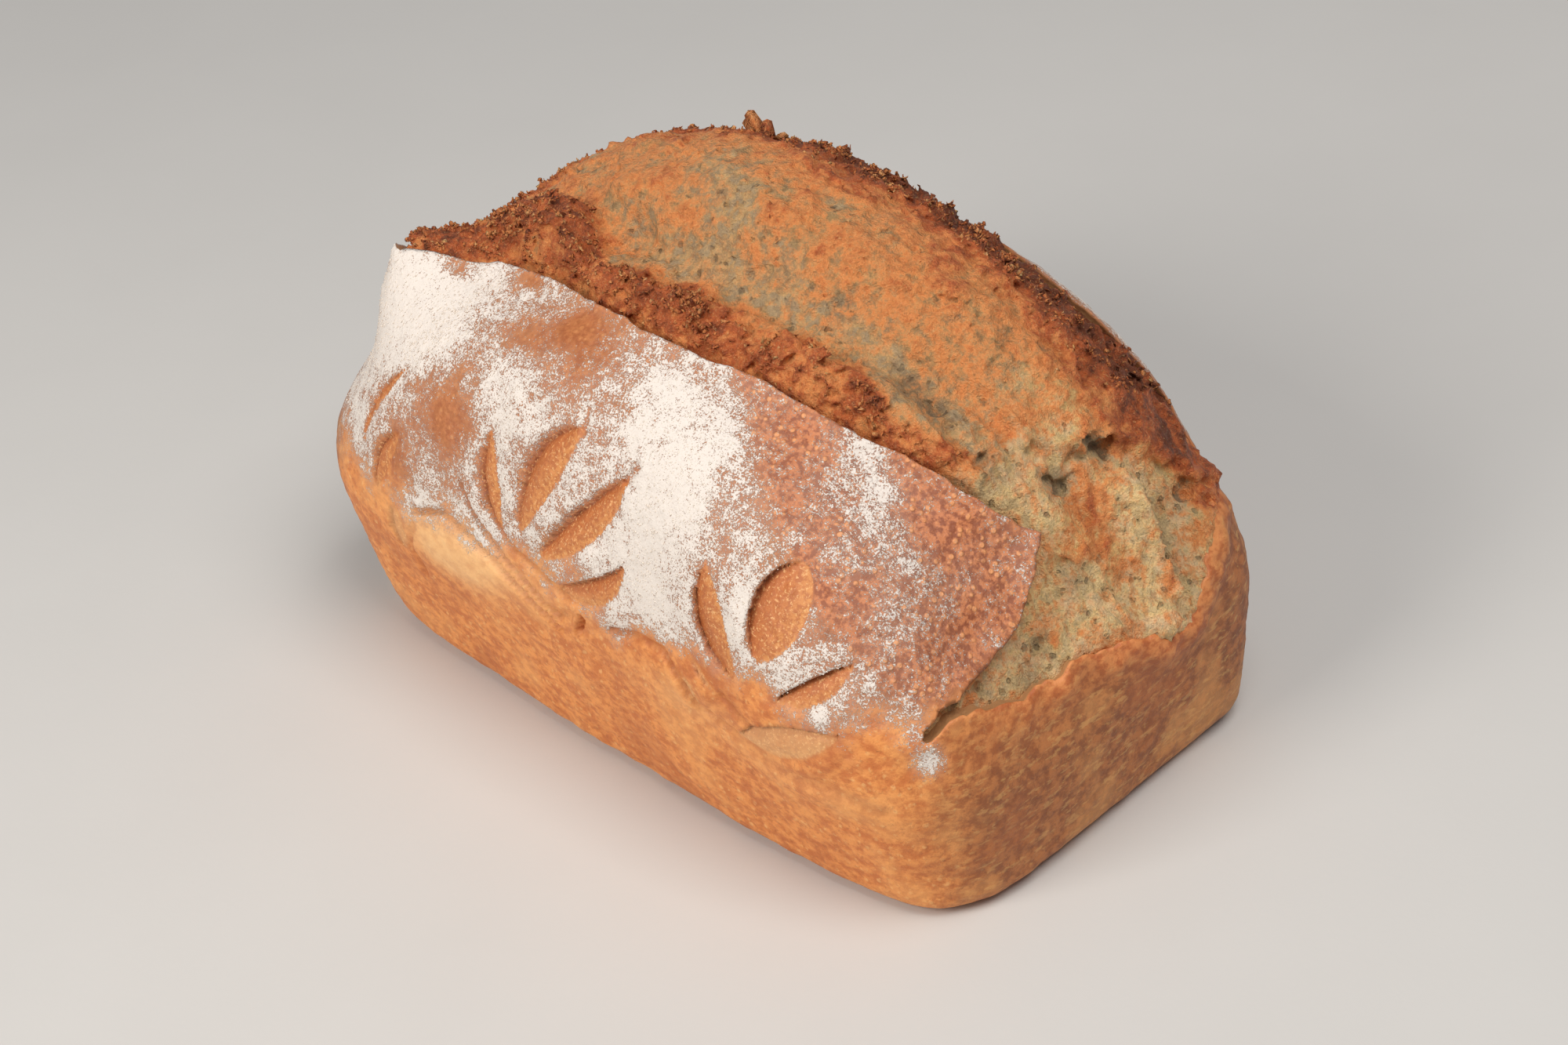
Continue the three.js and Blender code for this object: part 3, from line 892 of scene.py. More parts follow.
def pale_share(points):
    spots = points[:, :2]
    gap = np.minimum(*[path_distance(spots, path) for path in PALE_PATHS])
    gap = gap + 4.5 * layered(points, 12, 3, 185)
    valley_pale = bell(np.maximum(gap - 1.0, 0) / 5) * ramp(-38, -28, points[:, 0])
    past_hump = ramp(2.0, -1.5, side_of_path(spots, HUMP_END)[0] + 0.3 * lumps(points, 7, 186))
    end_pale = past_hump * ramp(60, 76, points[:, 0]) * (1 - 0.7 * ramp(34, 46, points[:, 1]))
    return np.maximum(np.maximum(valley_pale, end_pale), blobs(spots, [PALE_POCKET]))


map_pale = pale_share(map_skin)
map_fluff = np.clip(1 - 1.15 * map_pale, 0, 1)
map_ragged = bell((behind - 7) / 7) * ramp(66, 78, z) + crest + ramp(24, 42, y) * (x < 74) + ramp(-66, -84, x)
map_ragged = np.clip(map_ragged, 0, 1) * (0.15 + 0.85 * map_fluff)
map_layers = [map_reach + broad, map_inside, map_fluff, by_ear, map_ragged]
map_stack = np.stack(map_layers, -1).reshape(*MAP_SHAPE, len(map_layers))


def on_map(points):
    """Reach of the broad surface, depth inside the outline, fluff, nearness to the ear and raggedness."""
    place = np.clip((laid_flat(points) - MAP_START) / MAP_STEP, 0, np.array(MAP_SHAPE) - 1.001)
    cell = place.astype(int)
    share = (place - cell)[..., None]
    i, j = cell.T
    low = map_stack[i, j] * (1 - share[:, 0]) + map_stack[i + 1, j] * share[:, 0]
    high = map_stack[i, j + 1] * (1 - share[:, 0]) + map_stack[i + 1, j + 1] * share[:, 0]
    return (low * (1 - share[:, 1]) + high * share[:, 1]).T


def tearing(points, fluff, ragged):
    """How far torn dough stands out here, in millimetres."""
    warp = np.stack([lumps(points, 6, 121 + k) for k in range(3)], 1) * 2.2
    bent = points + warp
    soft = layered(points, 11, 3, 131) * (0.7 + 0.6 * fluff)
    tufts = (ridges(bent * [0.8, 0.8, 1.2], 5.4, 2, 141) - 0.42) * (0.9 + 1.0 * fluff + 2.6 * ragged)
    shreds = (ridges(bent * [0.6, 1, 1], 2.4, 3, 151) - 0.45) * (0.8 + 0.8 * fluff + 2.4 * ragged)
    strings = (ridges(bent * [1, 1, 0.4], 4.6, 3, 156) - 0.45) * 2.8 * (1 - fluff)
    gap, which = bubbles(bent * [1, 1, 0.5], 4.4, 161)
    pores = (1.9 - 0.9 * fluff) * np.clip(1 - (gap / (0.2 + 0.2 * which)) ** 2, 0, 1) * (which < 0.5)
    gap, which = bubbles(points, 2.0, 162)
    pinholes = 0.6 * np.clip(1 - (gap / (0.25 + 0.2 * which)) ** 2, 0, 1) * (which < 0.45)
    return soft + tufts + shreds + strings - pores - pinholes * (1 - 0.5 * fluff)


def on_surface(place):
    """A hole's place, moved along its ray to the broad surface."""
    place = np.array([place], float)
    return (HEART + unit(place - HEART) * on_map(place)[0][:, None])[0]


def carve_crumb():
    inside = map_inside > -TUCK
    low = map_skin[inside].min(axis=0) - BOX_UNDER
    high = map_skin[inside].max(axis=0) + BOX_OVER
    low[2] = max(low[2], BOX_LOWEST)
    shape = np.ceil((high - low) / VOXEL).astype(int)
    field = np.full(shape, BAND, np.float32)
    steps = [np.arange(n) for n in shape[1:]]
    sheet = np.stack(np.meshgrid(*steps, indexing="ij"), -1).reshape(-1, 2)
    for i in range(shape[0]):
        points = low + np.c_[np.full(len(sheet), i), sheet] * VOXEL
        reach, depth, fluff, ear, ragged = on_map(points)
        rise = np.linalg.norm(points - HEART, axis=1) - reach
        value = np.maximum(rise, np.maximum(-(rise + SOLID_UNDER), -(depth + TUCK)))
        band = (np.abs(rise) < BAND) & (depth > -TUCK - 2)
        if band.any():
            near = points[band]
            calm = ramp(-1.0, 3.5, depth[band]) * ear[band] + (1 - ear[band]) * ramp(-2.5, 1.5, depth[band])
            torn = rise[band] - tearing(near, fluff[band], ragged[band]) * calm
            for place, radius in holes:
                if abs(place[0] - points[0, 0]) < radius * 2.5:
                    gap = np.linalg.norm((near - place) * [0.8, 0.9, 1.1], axis=1)
                    gap += lumps(near, 3.4, 171) * 1.2 + lumps(near, 1.6, 172) * 0.5
                    torn = np.maximum(torn, radius - gap)
            value[band] = np.maximum(torn, np.maximum(-(rise[band] + SOLID_UNDER), -(depth[band] + TUCK)))
        field[i] = np.clip(value, -BAND, BAND).reshape(shape[1:])
    field[[0, -1]] = BAND
    field[:, [0, -1]] = BAND
    field[:, :, [0, -1]] = BAND
    return field, low


holes = [(on_surface(place), radius) for place, radius in HOLES]
crumb_field, crumb_low = carve_crumb()
print("carved", crumb_field.shape, "cubes of", VOXEL, "mm")

# %% [markdown]
# ## From cubes to a mesh
# OpenVDB puts a surface through the cubes where the number is zero. The layer's underside is never seen, so
# its faces are dropped and the rim that is left is drawn together at the loaf's heart, which closes the
# crumb. Small hollows that the cut opens are closed at their own middles.

# %% Mesh the crumb
import openvdb


def mesh_field(field, low):
    grid = openvdb.FloatGrid(background=BAND)
    grid.copyFromArray(field)
    spots, triangles, quads = grid.convertToPolygons(isovalue=0.0, adaptivity=0.0)
    points = low + spots.astype(float) * VOXEL
    quads = quads.astype(int)
    a, b, c = (points[quads[:, k]] for k in range(3))
    if np.einsum("ij,ij->i", np.cross(b - a, c - a), a - points.mean(axis=0)).sum() < 0:
        quads = quads[:, ::-1]
    reach = on_map(points)[0]
    rise = np.linalg.norm(points - HEART, axis=1) - reach
    quads = largest_body(quads[(rise[quads] > -KEPT_UNDER).any(axis=1)], len(points))
    used, quads = np.unique(quads, return_inverse=True)
    quads = quads.reshape(-1, 4)
    faces = quads.tolist()
    loops = rim_loops(quads)
    points = list(points[used])
    for loop in loops:
        middle = HEART if loop is loops[-1] else np.mean([points[k] for k in loop], axis=0)
        faces += fan(loop, len(points))
        points.append(middle)
    print("closed", len(loops), "holes under the crumb")
    return np.array(points), faces


crumb_points, crumb_faces = mesh_field(crumb_field, crumb_low)
print("crumb:", len(crumb_points), "points,", len(crumb_faces), "faces")

# %% [markdown]
# ## How brown each bit of crumb is
# The oven browned what stood up: the tufts, the hump's far side and the top of the crest. The orange spots
# on the pale end are written down by place. Deep places and the insides of holes are grey: partly greyer
# crumb, partly painted shade.

# %% Masks over the crumb
# The crest's front is browner at the top and paler at its foot: where it lies and between which heights
CREST_FRONT = dict(y=-16, spread=6, left=(-72, -62), right=(-34, -42), height=(103, 109))
reach_there, depth_there, fluff_there, _, ragged_there = on_map(crumb_points)
rise_there = np.linalg.norm(crumb_points - HEART, axis=1) - reach_there
patches = layered(crumb_points, 14, 3, 181)
far_brown = ramp(12, 42, crumb_points[:, 1])
brown = 0.1 + fluff_there * (0.4 + 0.5 * far_brown) + 0.54 * ragged_there
brown += 0.13 * np.clip(rise_there, -2, 2.5) + 0.24 * patches
crest_front = bell((crumb_points[:, 1] - CREST_FRONT["y"]) / CREST_FRONT["spread"])
crest_front *= ramp(*CREST_FRONT["left"], crumb_points[:, 0])
crest_front *= ramp(*CREST_FRONT["right"], crumb_points[:, 0])
brown += crest_front * (0.4 * ramp(*CREST_FRONT["height"], crumb_points[:, 2]) - 0.12)
for place, spread, more in BROWN_SPOTS:
    brown += more * bell(np.linalg.norm(crumb_points - place, axis=1) / spread)
near_hole = sum(bell(np.linalg.norm(crumb_points - place, axis=1) / (radius + 2)) for place, radius in holes)
crumb_masks = dict(
    brown=np.clip(brown, 0, 1.4),
    end=ramp(58, 80, crumb_points[:, 0]),
    # grey: deep places and round holes, partly greyer crumb, partly painted shade
    grey=np.clip(ramp(-1.2, -3.2, rise_there) + 0.6 * near_hole * (1 - ragged_there), 0, 1),
)
crumb = make_piece("torn_crumb", crumb_points, crumb_faces, crumb_masks)

# %% [markdown]
# ## Loose shreds
# Where dough tore off the ridges it left thin flakes standing, which catch the light and make the bread's
# outline ragged. Each is a short bent blade of three narrowing rings and a tip. They are joined into one
# piece, and each stands on a point of the crumb that sticks out and is brown. A few tall ones are placed
# one by one, on the hump's outline and along the crest.

# %% Shreds on the ridges
SHRED_COUNT = 3600
SHRED_LENGTH, SHRED_WIDTH = (0.4, 1.3), (0.5, 1.5)
SHRED_BEND, TALL_BEND = (0.0, 0.6), 0.1
# Shares of a blade's length at which its three rings and its tip lie
BLADE_RINGS, BLADE_TIP = (-0.25, 0.3, 0.7), 0.8
SHRED_TONE, TONE_SCALE = (0.5, 1.35), 0.8
# Tall shreds lie flat along this direction, which shows them at full width from the near right
TALL_ALONG = (0.8, 0.6, 0.0)
# A tall shred: where it stands, which way it points, its length and its width
TALL_SHREDS = [
    ((-31, 34, 118), (-0.7, 0.0, 1.0), 6.6, 4.0), ((-33, 34, 117), (-1.0, 0.0, 0.6), 4.2, 3.2),
    ((-28, 34, 118), (-0.2, 0.2, 0.9), 4.6, 3.6), ((-24, 34, 118), (0.6, 0.0, 0.6), 3.6, 3.4),
    ((-84, -25, 101), (-0.7, -0.2, 0.8), 2.6, 1.6), ((-60, -8, 104), (-0.2, 0.3, 1.0), 2.6, 1.6),
    ((-50, -7, 107), (0.5, 0.2, 0.9), 2.8, 1.8), ((-44, -7, 107), (0.9, 0.0, 0.5), 3.0, 1.8),
]


def blade(root, way, side, length, width, bend):
    """Points and faces of one bent, narrowing blade with a three-sided section."""
    across = unit(np.cross(way, side))
    points, faces = [], []
    for ring, share in enumerate(BLADE_RINGS):
        middle = root + way * length * share + side * bend * length * max(share, 0) ** 2
        half = width / 2 * (1 - 0.5 * max(share, 0))
        points += [middle + across * half, middle - across * half, middle + side * half * 0.55]
        if ring:
            a = 3 * (ring - 1)
            faces += [(a + k, a + (k + 1) % 3, a + 3 + (k + 1) % 3, a + 3 + k) for k in range(3)]
    points.append(root + way * length * BLADE_TIP + side * bend * length)
    faces += [(6, 7, 9), (7, 8, 9), (8, 6, 9), (2, 1, 0)]
    return points, faces


def add_shreds():
    draw = np.random.default_rng(31)
    sticks_out = np.clip(rise_there + 0.6, 0, 2) * (depth_there > 1)
    weight = (0.06 + ragged_there) * np.clip(brown - 0.4, 0, 1) * sticks_out
    weight *= 1 - 0.85 * ramp(34, 42, crumb_points[:, 1])
    roots = draw.choice(len(crumb_points), SHRED_COUNT, p=weight / weight.sum())
    stand = []
    for root, out in zip(crumb_points[roots], unit(crumb_points[roots] - HEART)):
        way = out * draw.uniform(-0.1, 0.45) + draw.normal(size=3) * 0.6
        stand.append((root, way, draw.uniform(*SHRED_LENGTH), draw.uniform(*SHRED_WIDTH)))
    for place, way, long, wide in TALL_SHREDS:
        near = np.linalg.norm(crumb_points[:, :2] - np.array(place[:2]), axis=1)
        top = crumb_points[np.argmin(near - 0.3 * crumb_points[:, 2])]
        stand.append((top, np.array(way), long, wide))
    points, faces, tone = [], [], []
    for number, (root, way, long, wide) in enumerate(stand):
        way = unit(way)
        tall = number >= SHRED_COUNT
        side = unit(np.cross(way, TALL_ALONG if tall else draw.normal(size=3)))
        bend = TALL_BEND if tall else draw.uniform(*SHRED_BEND)
        new_points, new_faces = blade(root, way, side, long, wide, bend)
        faces += [tuple(k + len(points) for k in face) for face in new_faces]
        points += new_points
        tone += [draw.uniform(*SHRED_TONE)] * len(new_points)
    tone = np.array(tone) * TONE_SCALE
    masks = dict(brown=tone, end=np.ones(len(tone)), grey=np.zeros(len(tone)))
    return make_piece("torn_shreds", np.array(points), faces, masks)


shreds = add_shreds()

# %% [markdown]
# ## Grains of flour
# Close up the flour is not only a colour: it lies in little clumps. Each is a flattened six-cornered lump,
# sunk half into the skin, and they are only where the flour is thick.

# %% Flour clumps
CLUMP_COUNT = 9000
CLUMP_SIZE = (0.12, 0.34)


def add_flour_clumps():
    draw = np.random.default_rng(41)
    weight = np.clip(flour - 0.35, 0, 1) * (burst_value < 0) * near_side
    spots = draw.choice(len(skin), CLUMP_COUNT, p=weight / weight.sum())
    out = unit(skin[spots] - HEART)
    first = unit(np.cross(out, draw.normal(size=out.shape)))
    second = np.cross(out, first)
    size = draw.uniform(*CLUMP_SIZE, CLUMP_COUNT) * draw.uniform(0.5, 1.0, CLUMP_COUNT)
    jitter = draw.uniform(-0.35, 0.35, (CLUMP_COUNT, 2))
    middle = full_skin[spots] + first * jitter[:, :1] + second * jitter[:, 1:]
    corners = []
    for way, share in ((first, 1), (second, 1), (-first, 1), (-second, 1), (out, 0.7), (-out, 0.6)):
        corners.append(middle + way * (size * share * draw.uniform(0.7, 1.2, CLUMP_COUNT))[:, None])
    points = np.stack(corners, 1).reshape(-1, 3)
    faces = np.array([(0, 1, 4), (1, 2, 4), (2, 3, 4), (3, 0, 4), (1, 0, 5), (2, 1, 5), (3, 2, 5), (0, 3, 5)])
    faces = (faces[None] + 6 * np.arange(CLUMP_COUNT)[:, None, None]).reshape(-1, 3)
    return make_piece("flour_clumps", points, faces.tolist(), {})


clumps = add_flour_clumps()

# %% [markdown]
# ## Materials as arithmetic
# A material here is a sum of masks, so it is written as one. A Wire holds one socket; adding or multiplying
# wires adds the nodes that do it, Math nodes for numbers and Mix or Vector Math nodes for colours and
# vectors. Everything else goes through node(). Colours were matched to the bread, as sRGB numbers.

# %% A socket that does arithmetic
# The sockets of a Mix node that mixes colours, by number, since other sockets share their names
MIX_SHARE, MIX_FIRST, MIX_SECOND, MIX_RESULT = 0, 6, 7, 2


class Wire:
    """One output of a node tree."""

    def __init__(self, tree, socket=None):
        self.tree, self.socket = tree, socket

    def node(self, kind, settings=None, inputs=None, output=0):
        """Adds any node: its type, its settings, then what goes into its sockets."""
        node = self.tree.nodes.new("ShaderNode" + kind)
        for name, value in (settings or {}).items():
            setattr(node, name, value)
        for name, value in (inputs or {}).items():
            if isinstance(value, Wire):
                self.tree.links.new(node.inputs[name], value.socket)
            else:
                node.inputs[name].default_value = value
        return Wire(self.tree, node.outputs[output]) if len(node.outputs) else None

    def operate(self, operation, first, second):
        if self.socket.type == "VALUE":
            return self.node("Math", {"operation": operation}, {0: first, 1: second})
        if self.socket.type == "RGBA":
            pair = {"data_type": "RGBA", "blend_type": operation, "clamp_factor": True}
            grey = [v if isinstance(v, Wire) else (v, v, v, 1) for v in (first, second)]
            inputs = {MIX_SHARE: 1.0, MIX_FIRST: grey[0], MIX_SECOND: grey[1]}
            return self.node("Mix", pair, inputs, MIX_RESULT)
        spread = [v if isinstance(v, (Wire, tuple)) else (v, v, v) for v in (first, second)]
        return self.node("VectorMath", {"operation": operation}, {0: spread[0], 1: spread[1]})

    def __add__(self, other):
        return self.operate("ADD", self, other)

    def __radd__(self, other):
        return self.operate("ADD", other, self)

    def __sub__(self, other):
        return self.operate("SUBTRACT", self, other)

    def __rsub__(self, other):
        return self.operate("SUBTRACT", other, self)

    def __mul__(self, other):
        return self.operate("MULTIPLY", self, other)

    def __rmul__(self, other):
        return self.operate("MULTIPLY", other, self)

    def ramp(self, start, end):
        """0 below start, 1 above end and smooth between."""
        settings = {"interpolation_type": "SMOOTHSTEP"}
        flipped = start > end
        low, high = (end, start) if flipped else (start, end)
        limits = {"Value": self, "From Min": low, "From Max": high}
        wire = self.node("MapRange", settings, limits)
        return 1 - wire if flipped else wire


def srgb(*colour):
    """A colour of three sRGB numbers up to 255, as the linear numbers that a socket takes."""
    shares = [number / 255 for number in colour]
    linear = [v / 12.92 if v <= 0.04045 else ((v + 0.055) / 1.055) ** 2.4 for v in shares]
    return (*linear, 1.0)


class Finish:
    """A material, its place on the surface in millimetres and its masks."""

    def __init__(self, name):
        self.material = bpy.data.materials.new(name)
        self.material.use_nodes = True
        self.tree = self.material.node_tree
        self.tree.nodes.clear()
        self.start = Wire(self.tree)
        place = self.start.node("TexCoord", output="Object")
        self.place = place.node("VectorMath", {"operation": "SCALE"}, {0: place, 3: 1 / MM})

    def mask(self, name):
        return self.start.node("Attribute", {"attribute_name": name}, output="Fac")

    def noise(self, size, detail=3.0, rough=0.55, stretch=None):
        """Lumps about size millimetres wide, from 0 to 1. A smaller stretch makes longer lumps."""
        place = self.place * stretch if stretch else self.place
        inputs = {"Vector": place, "Scale": 1 / size, "Detail": detail, "Roughness": rough}
        return self.start.node("TexNoise", {}, inputs)

    def cells(self, size, warp=0.0):
        """Distance to the nearest of many spots about size apart, pushed about by warp millimetres."""
        inputs = {"Vector": self.place, "Scale": 1 / size, "Detail": 3.0}
        push = self.start.node("TexNoise", {}, inputs, "Color")
        bend = {0: push, 1: (warp, warp, warp), 2: self.place}
        place = self.start.node("VectorMath", {"operation": "MULTIPLY_ADD"}, bend)
        return self.start.node("TexVoronoi", {}, {"Vector": place, "Scale": 1 / size})

    def mix(self, share, first, second):
        """The first colour with a share of the second."""
        inputs = {MIX_SHARE: share, MIX_FIRST: first, MIX_SECOND: second}
        return self.start.node("Mix", {"data_type": "RGBA"}, inputs, MIX_RESULT)

    def finish(self, colour, rough, height, bump_mm):
        bump = self.start.node("Bump", {}, {"Strength": 1.0, "Distance": bump_mm * MM, "Height": height})
        inputs = {"Base Color": colour, "Roughness": rough, "Normal": bump}
        shader = self.start.node("BsdfPrincipled", {}, inputs)
        self.start.node("OutputMaterial", {}, {"Surface": shader})
        return self.material


print("sRGB 212, 135, 80 is", [round(v, 3) for v in srgb(212, 135, 80)])

# %% [markdown]
# ## The baked skin's finish
# On the near wall the crust is golden with a fine net of darker and lighter spots, and on the end walls and
# the far wall it is darker, with light streaks: partly browner crust, partly painted shade. The flap is
# redder, and its right third has light blisters. Creases are darkened with painted shade, and the inside of
# each leaf next to its lip with a painted shadow.
# Flour is a mask too: where there is much of it the powder closes up to white, where there is little only
# a thin veil and separate specks show, so a fine noise is compared with the amount.

# %% Finish of the skin
def crust_finish():
    look = Finish("baked_crust")
    flour, leaf, leaf_far = look.mask("flour"), look.mask("leaf"), look.mask("leaf_far")
    red, browned = look.mask("red"), look.mask("browned")
    crease_shade, torn = look.mask("crease_shade"), look.mask("torn")
    broad = look.noise(20, 3)
    mottle = look.noise(3.0, 4, 0.62, (1, 1, 1.3))
    net = look.noise(1.3, 3, 0.6)
    grain = look.noise(0.42, 3, 0.6)
    powder = look.noise(0.45, 3, 0.75)
    spots = look.cells(1.9)
    blotch = look.noise(1.5, 3, 0.6)
    streak = look.noise(2.2, 3, 0.6, (0.55, 0.55, 1.6))
    golden = look.mix(mottle.ramp(0.36, 0.64), srgb(204, 116, 56), srgb(238, 154, 82))
    golden = look.mix(spots.ramp(0.42, 0.18) * blotch.ramp(0.46, 0.6) * 0.5, golden, srgb(250, 196, 126))
    golden = look.mix(net.ramp(0.44, 0.32) * 0.4, golden, srgb(168, 88, 42))
    walls = look.mix(mottle.ramp(0.38, 0.62), srgb(146, 84, 46), srgb(192, 118, 66))
    walls = look.mix(streak.ramp(0.54, 0.64) * 0.55, walls, srgb(226, 174, 106))
    walls = look.mix(net.ramp(0.44, 0.32) * 0.4, walls, srgb(124, 68, 38))
    # End and far walls darkened further: painted shade
    walls = look.mix(look.mask("streaked_and_shaded") * 0.35, walls, walls * 0.55)
    golden = look.mix(look.mask("streaked_and_shaded"), golden, walls)
    golden = look.mix(broad.ramp(0.5, 0.7) * 0.4, golden, srgb(182, 100, 52))
    golden = look.mix(broad.ramp(0.5, 0.34) * 0.35, golden, srgb(246, 178, 106))
    reddish = look.mix(blotch.ramp(0.4, 0.6), srgb(146, 76, 42), srgb(204, 124, 76))
    right_third = red.ramp(0.8, 0.95)
    reddish = look.mix((1 - right_third) * 0.6, reddish, srgb(144, 80, 46))
    blister = spots.ramp(0.40, 0.2) * look.noise(5, 3).ramp(0.42, 0.55) * (0.3 + right_third * 0.7)
    reddish = look.mix(blister * 0.8, reddish, srgb(242, 164, 104))
    skin = look.mix(red, golden, reddish)
    # Inside a leaf the dough is darker next to the lip: painted shadow of the lip
    inner = look.mix(leaf_far.ramp(0.0, 0.35), srgb(132, 68, 36), srgb(196, 116, 62))
    inner = look.mix(leaf_far.ramp(0.4, 1.0), inner, srgb(218, 146, 82))
    inner = look.mix(net.ramp(0.42, 0.6) * 0.7, inner, srgb(176, 98, 52))
    inner = look.mix(look.noise(0.7, 3, 0.7).ramp(0.54, 0.66) * 0.7, inner, srgb(244, 190, 128))
    skin = look.mix(leaf, skin, inner)
    rolled = look.mix(mottle.ramp(0.4, 0.6), srgb(196, 104, 52), srgb(232, 146, 84))
    skin = look.mix(browned * 0.75, skin, rolled)
    # Creases darkened: painted shade
    skin = look.mix(crease_shade * 0.6, skin, srgb(164, 92, 50))
    skin = look.mix(look.mask("cream") * (0.35 + mottle * 0.8), skin, srgb(250, 198, 136))
    thin = flour.ramp(0.02, 0.5) * (0.3 - red * 0.12) * (0.3 + broad * 0.9)
    skin = look.mix(thin, skin, srgb(246, 208, 180))
    specks = (powder - 0.5) * 3.8 + (blotch - 0.5) * 1.4 + (look.noise(4.2, 4, 0.65) - 0.5) * 1.6
    cover = (flour * 1.3 - 0.6 + specks * 0.8).ramp(-0.1, 0.24)
    cover = cover * flour.ramp(0.03, 0.2)
    white = look.mix(grain, srgb(224, 210, 198), srgb(238, 229, 219))
    white = look.mix(cover, srgb(244, 214, 192), white)
    skin = look.mix(cover, skin, white)
    skin = look.mix(torn, skin, srgb(176, 128, 84))
    height = mottle * 0.5 + net * 0.5 + grain * 0.22 + cover * 0.3 + blister * 0.5
    rough = 0.5 + cover * 0.4 + mottle * 0.1
    return look.finish(skin, rough, height, 0.4)


crust.data.materials.append(crust_finish())
print("the skin's finish has", len(crust.active_material.node_tree.nodes), "nodes")

# %% [markdown]
# ## The torn crumb's finish
# Torn crumb runs from cream over orange to dark brown, the further it stood up into the heat. The mask
# gives the broad amount, and three sizes of noise are added to it, so the borders break up. The pale part
# has darker fibres and greyish films. Small holes and the gaps between grains are darkened with painted
# shade, as is the pale valley away from the right end, and light flecks are painted highlights. The shreds
# wear the same finish, with masks of their own.

# %% Finish of the crumb and the shreds
def crumb_finish():
    look = Finish("torn_crumb")
    brown, end, grey = (look.mask(name) for name in ("brown", "end", "grey"))
    patch = look.noise(6.0, 4, 0.6)
    clot = look.noise(2.4, 4, 0.65)
    flake = look.noise(1.1, 4, 0.7)
    speck = look.noise(0.5, 3, 0.7)
    grain = look.cells(1.9, 3.0)
    pores = look.cells(3.6, 4.0)
    fibre = look.noise(2.0, 4, 0.65, (1, 1, 0.35))
    pale = look.mix(patch.ramp(0.38, 0.62), srgb(255, 214, 140), srgb(255, 216, 164))
    pale = look.mix(clot.ramp(0.5, 0.64) * 0.6, pale, srgb(255, 230, 176))
    pale = look.mix(fibre.ramp(0.48, 0.38) * 0.7, pale, srgb(228, 148, 80))
    # Away from the right end the pale crumb is darker: painted shade of the valley between the ridges, with
    # greyer crumb
    shady = look.mix(clot.ramp(0.38, 0.62), srgb(150, 112, 74), srgb(208, 160, 104))
    pale = look.mix((1 - end) * 0.8, pale, shady)
    film = (patch + clot).ramp(1.0, 0.86) * brown.ramp(0.45, 0.15)
    pale = look.mix(film * 0.45, pale, srgb(196, 176, 144))
    # Grey in deep places and round holes: partly greyer crumb, partly painted shade
    pale = look.mix(grey * 0.85, pale, srgb(132, 112, 88))
    amount = brown + (patch - 0.5) * 1.3 + (clot - 0.5) * 1.5 + (flake - 0.5) * 0.8
    warm = look.mix(amount.ramp(0.0, 0.62), pale, srgb(244, 154, 86))
    warm = look.mix(amount.ramp(0.5, 1.05), warm, srgb(198, 100, 50))
    warm = look.mix(amount.ramp(0.95, 1.5), warm, srgb(122, 62, 34))
    hole = pores.ramp(0.26, 0.16) * clot.ramp(0.6, 0.5) * (1 - brown.ramp(0.2, 0.5) * 0.7)
    # Pores darkened: painted shade inside them
    warm = look.mix(hole * 0.7, warm, warm * 0.4)
    # Gaps between the grains darkened: painted shade
    crevice_shade = grain.ramp(0.4, 0.75) * flake.ramp(0.58, 0.48)
    warm = look.mix(crevice_shade * 0.4, warm, warm * 0.5)
    # Light flecks: painted highlights
    warm = look.mix(speck.ramp(0.56, 0.68) * 0.35, warm, srgb(255, 206, 142))
    height = flake * 0.8 + fibre * (0.3 + end * 0.9) - hole * 0.5 - grain * 0.3 + speck * 0.8
    return look.finish(warm, 0.34 + crevice_shade * 0.25 + patch * 0.2, height, 1.1)


crumb.data.materials.append(crumb_finish())
shreds.data.materials.append(crumb.active_material)
print("the crumb's finish has", len(crumb.active_material.node_tree.nodes), "nodes")

# %% [markdown]
# ## The flour's finish
# Flour is a dull warm white. It scatters light and has no shine at all, so it is nearly as rough as can be.

# %% Finish of the flour
def flour_finish():
    look = Finish("flour_powder")
    grain = look.noise(0.3, 3)
    white = look.mix(grain, srgb(230, 215, 200), srgb(246, 236, 222))
    return look.finish(white, 0.9 + grain * 0.05, grain, 0.1)


clumps.data.materials.append(flour_finish())
print("the flour's finish has", len(clumps.active_material.node_tree.nodes), "nodes")

# %% [markdown]
# ## Light, floor and camera
# One wide lamp stands on the near side like a window, a second hangs above the right end, and a pale sky
# fills the shadows on a pale floor. The camera was found by fitting the tin's shape to the bread's outline:
# how far round, how high, how much it leans and how far away it is.

# %% Light, floor and camera
# Degrees round, up and of lean, then millimetres away, right and up, and the lens
CAMERA = dict(azimuth=50.6, elevation=35.5, lean=8.2, away=740.0, right=-4.7, up=29.0, lens=72.0)
NEAREST_SEEN = 0.02
# A lamp: its name, its place and its width in metres, its power in watts and its colour
LAMPS = [
    ("window", (-0.15, -1.0, 0.75), 0.55, 9.0, (1.0, 0.97, 0.93)),
    ("ceiling", (0.50, 0.0, 1.15), 0.7, 9.5, (1.0, 0.98, 0.96)),
]
LAMPS_AIM = Vector((0, 0, 0.05))
SKY = dict(colour=(0.9, 0.93, 1.0, 1), strength=0.24)
FLOOR_HALF, FLOOR_GAP = 3.0, 0.0002


def camera_axes():
    around, high, lean = (math.radians(CAMERA[k]) for k in ("azimuth", "elevation", "lean"))
    back = np.array([math.sin(around) * math.cos(high), -math.cos(around) * math.cos(high), math.sin(high)])
    level = np.array([math.cos(around), math.sin(around), 0.0])
    up = np.cross(back, level)
    return level * math.cos(lean) - up * math.sin(lean), up * math.cos(lean) + level * math.sin(lean), back


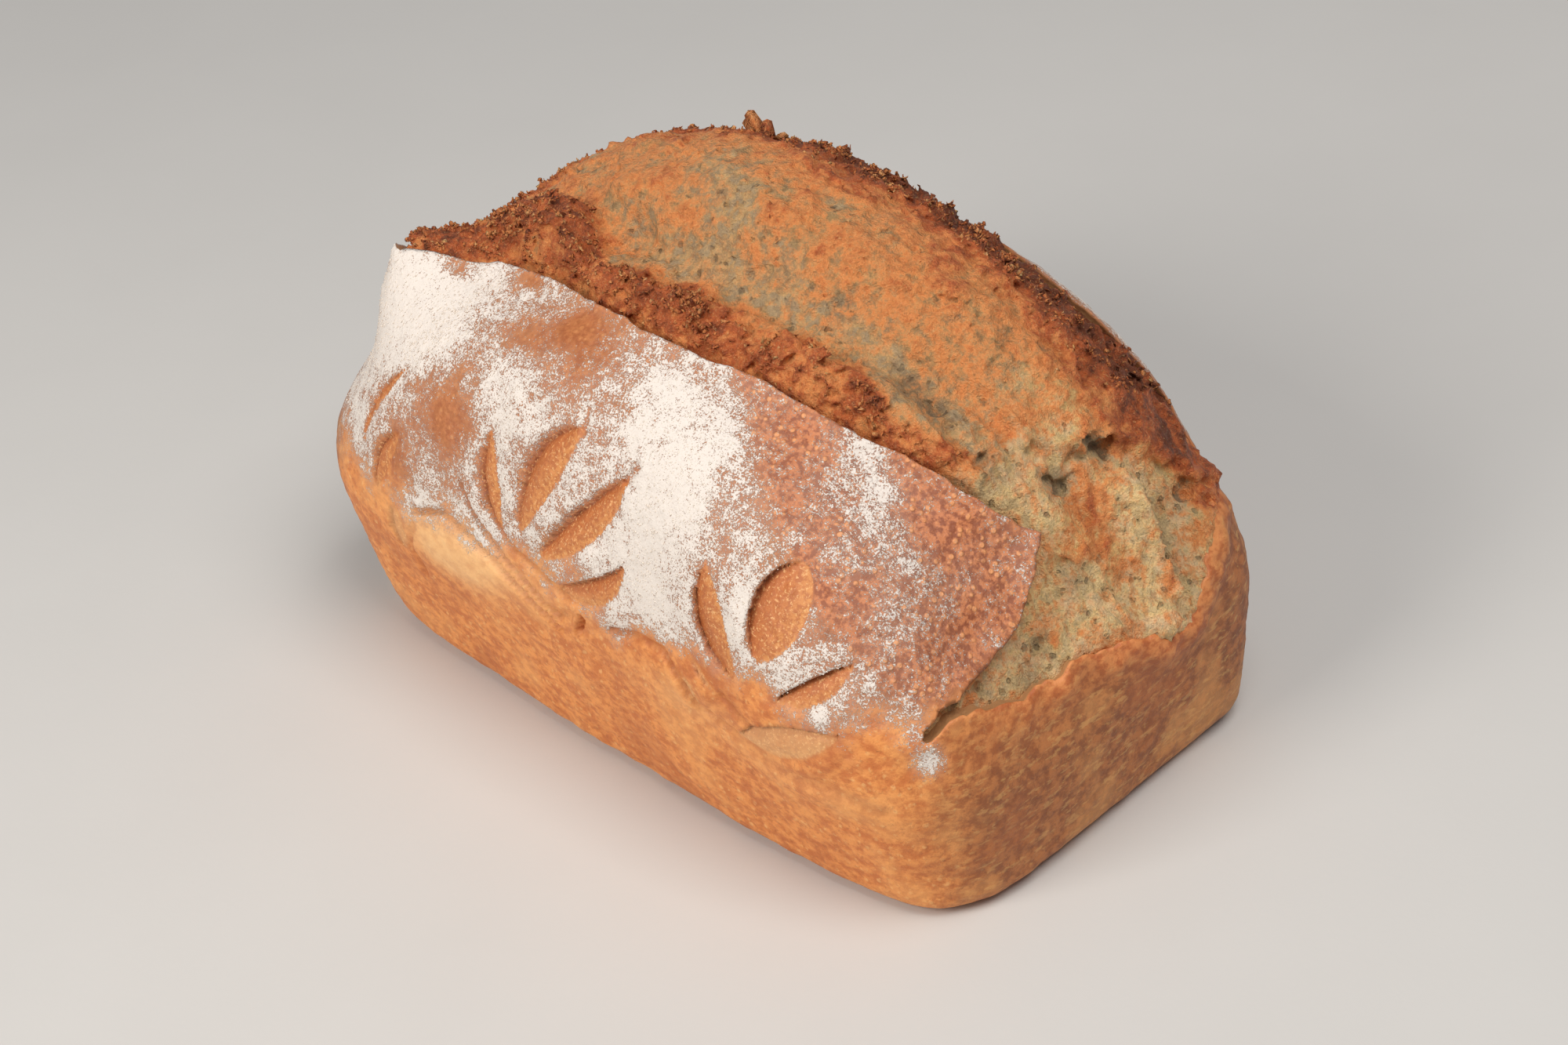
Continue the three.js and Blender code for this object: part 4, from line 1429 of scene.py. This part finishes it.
def add_camera():
    right, up, back = camera_axes()
    spot = (back * CAMERA["away"] + right * CAMERA["right"] + up * CAMERA["up"]) * MM
    camera = bpy.data.objects.new("camera", bpy.data.cameras.new("camera"))
    camera.data.lens = CAMERA["lens"]
    camera.data.clip_start = NEAREST_SEEN
    camera.matrix_world = Matrix([[right[k], up[k], back[k], spot[k]] for k in range(3)] + [[0, 0, 0, 1]])
    bpy.context.scene.collection.objects.link(camera)
    bpy.context.scene.camera = camera


def add_lamp(name, spot, width, power, colour):
    lamp = bpy.data.lights.new(name, "AREA")
    lamp.energy, lamp.size, lamp.color = power, width, colour
    holder = bpy.data.objects.new(name, lamp)
    holder.location = spot
    aim = LAMPS_AIM - Vector(spot)
    holder.rotation_euler = aim.to_track_quat("-Z", "Y").to_euler()
    bpy.context.scene.collection.objects.link(holder)


def add_sky():
    world = bpy.data.worlds.new("studio")
    world.use_nodes = True
    background = world.node_tree.nodes["Background"]
    background.inputs["Color"].default_value = SKY["colour"]
    background.inputs["Strength"].default_value = SKY["strength"]
    bpy.context.scene.world = world


def add_floor():
    half = FLOOR_HALF
    corners = [(-half, -half, 0), (half, -half, 0), (half, half, 0), (-half, half, 0)]
    mesh = bpy.data.meshes.new("floor")
    mesh.from_pydata(corners, [], [(0, 1, 2, 3)])
    floor = bpy.data.objects.new("floor", mesh)
    floor.location.z = -FLOOR_GAP
    bpy.context.scene.collection.objects.link(floor)
    look = Finish("pale_floor")
    tone = look.mix(look.noise(60, 3), srgb(210, 207, 202), srgb(205, 202, 197))
    mesh.materials.append(look.finish(tone, 0.6 + look.noise(9, 2) * 0.05, look.noise(2, 2), 0.02))


add_camera()
add_floor()
for lamp in LAMPS:
    add_lamp(*lamp)
add_sky()
bpy.context.scene.view_settings.view_transform = "Standard"
print("camera at", bpy.context.scene.camera.location)

# %% [markdown]
# ## Hand over
# Each piece is told which body it rides on, and the solid's own part is hidden.

# %% Hand the pieces to the frame
for piece in pieces:
    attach(piece, "root")
    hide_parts("loaf")
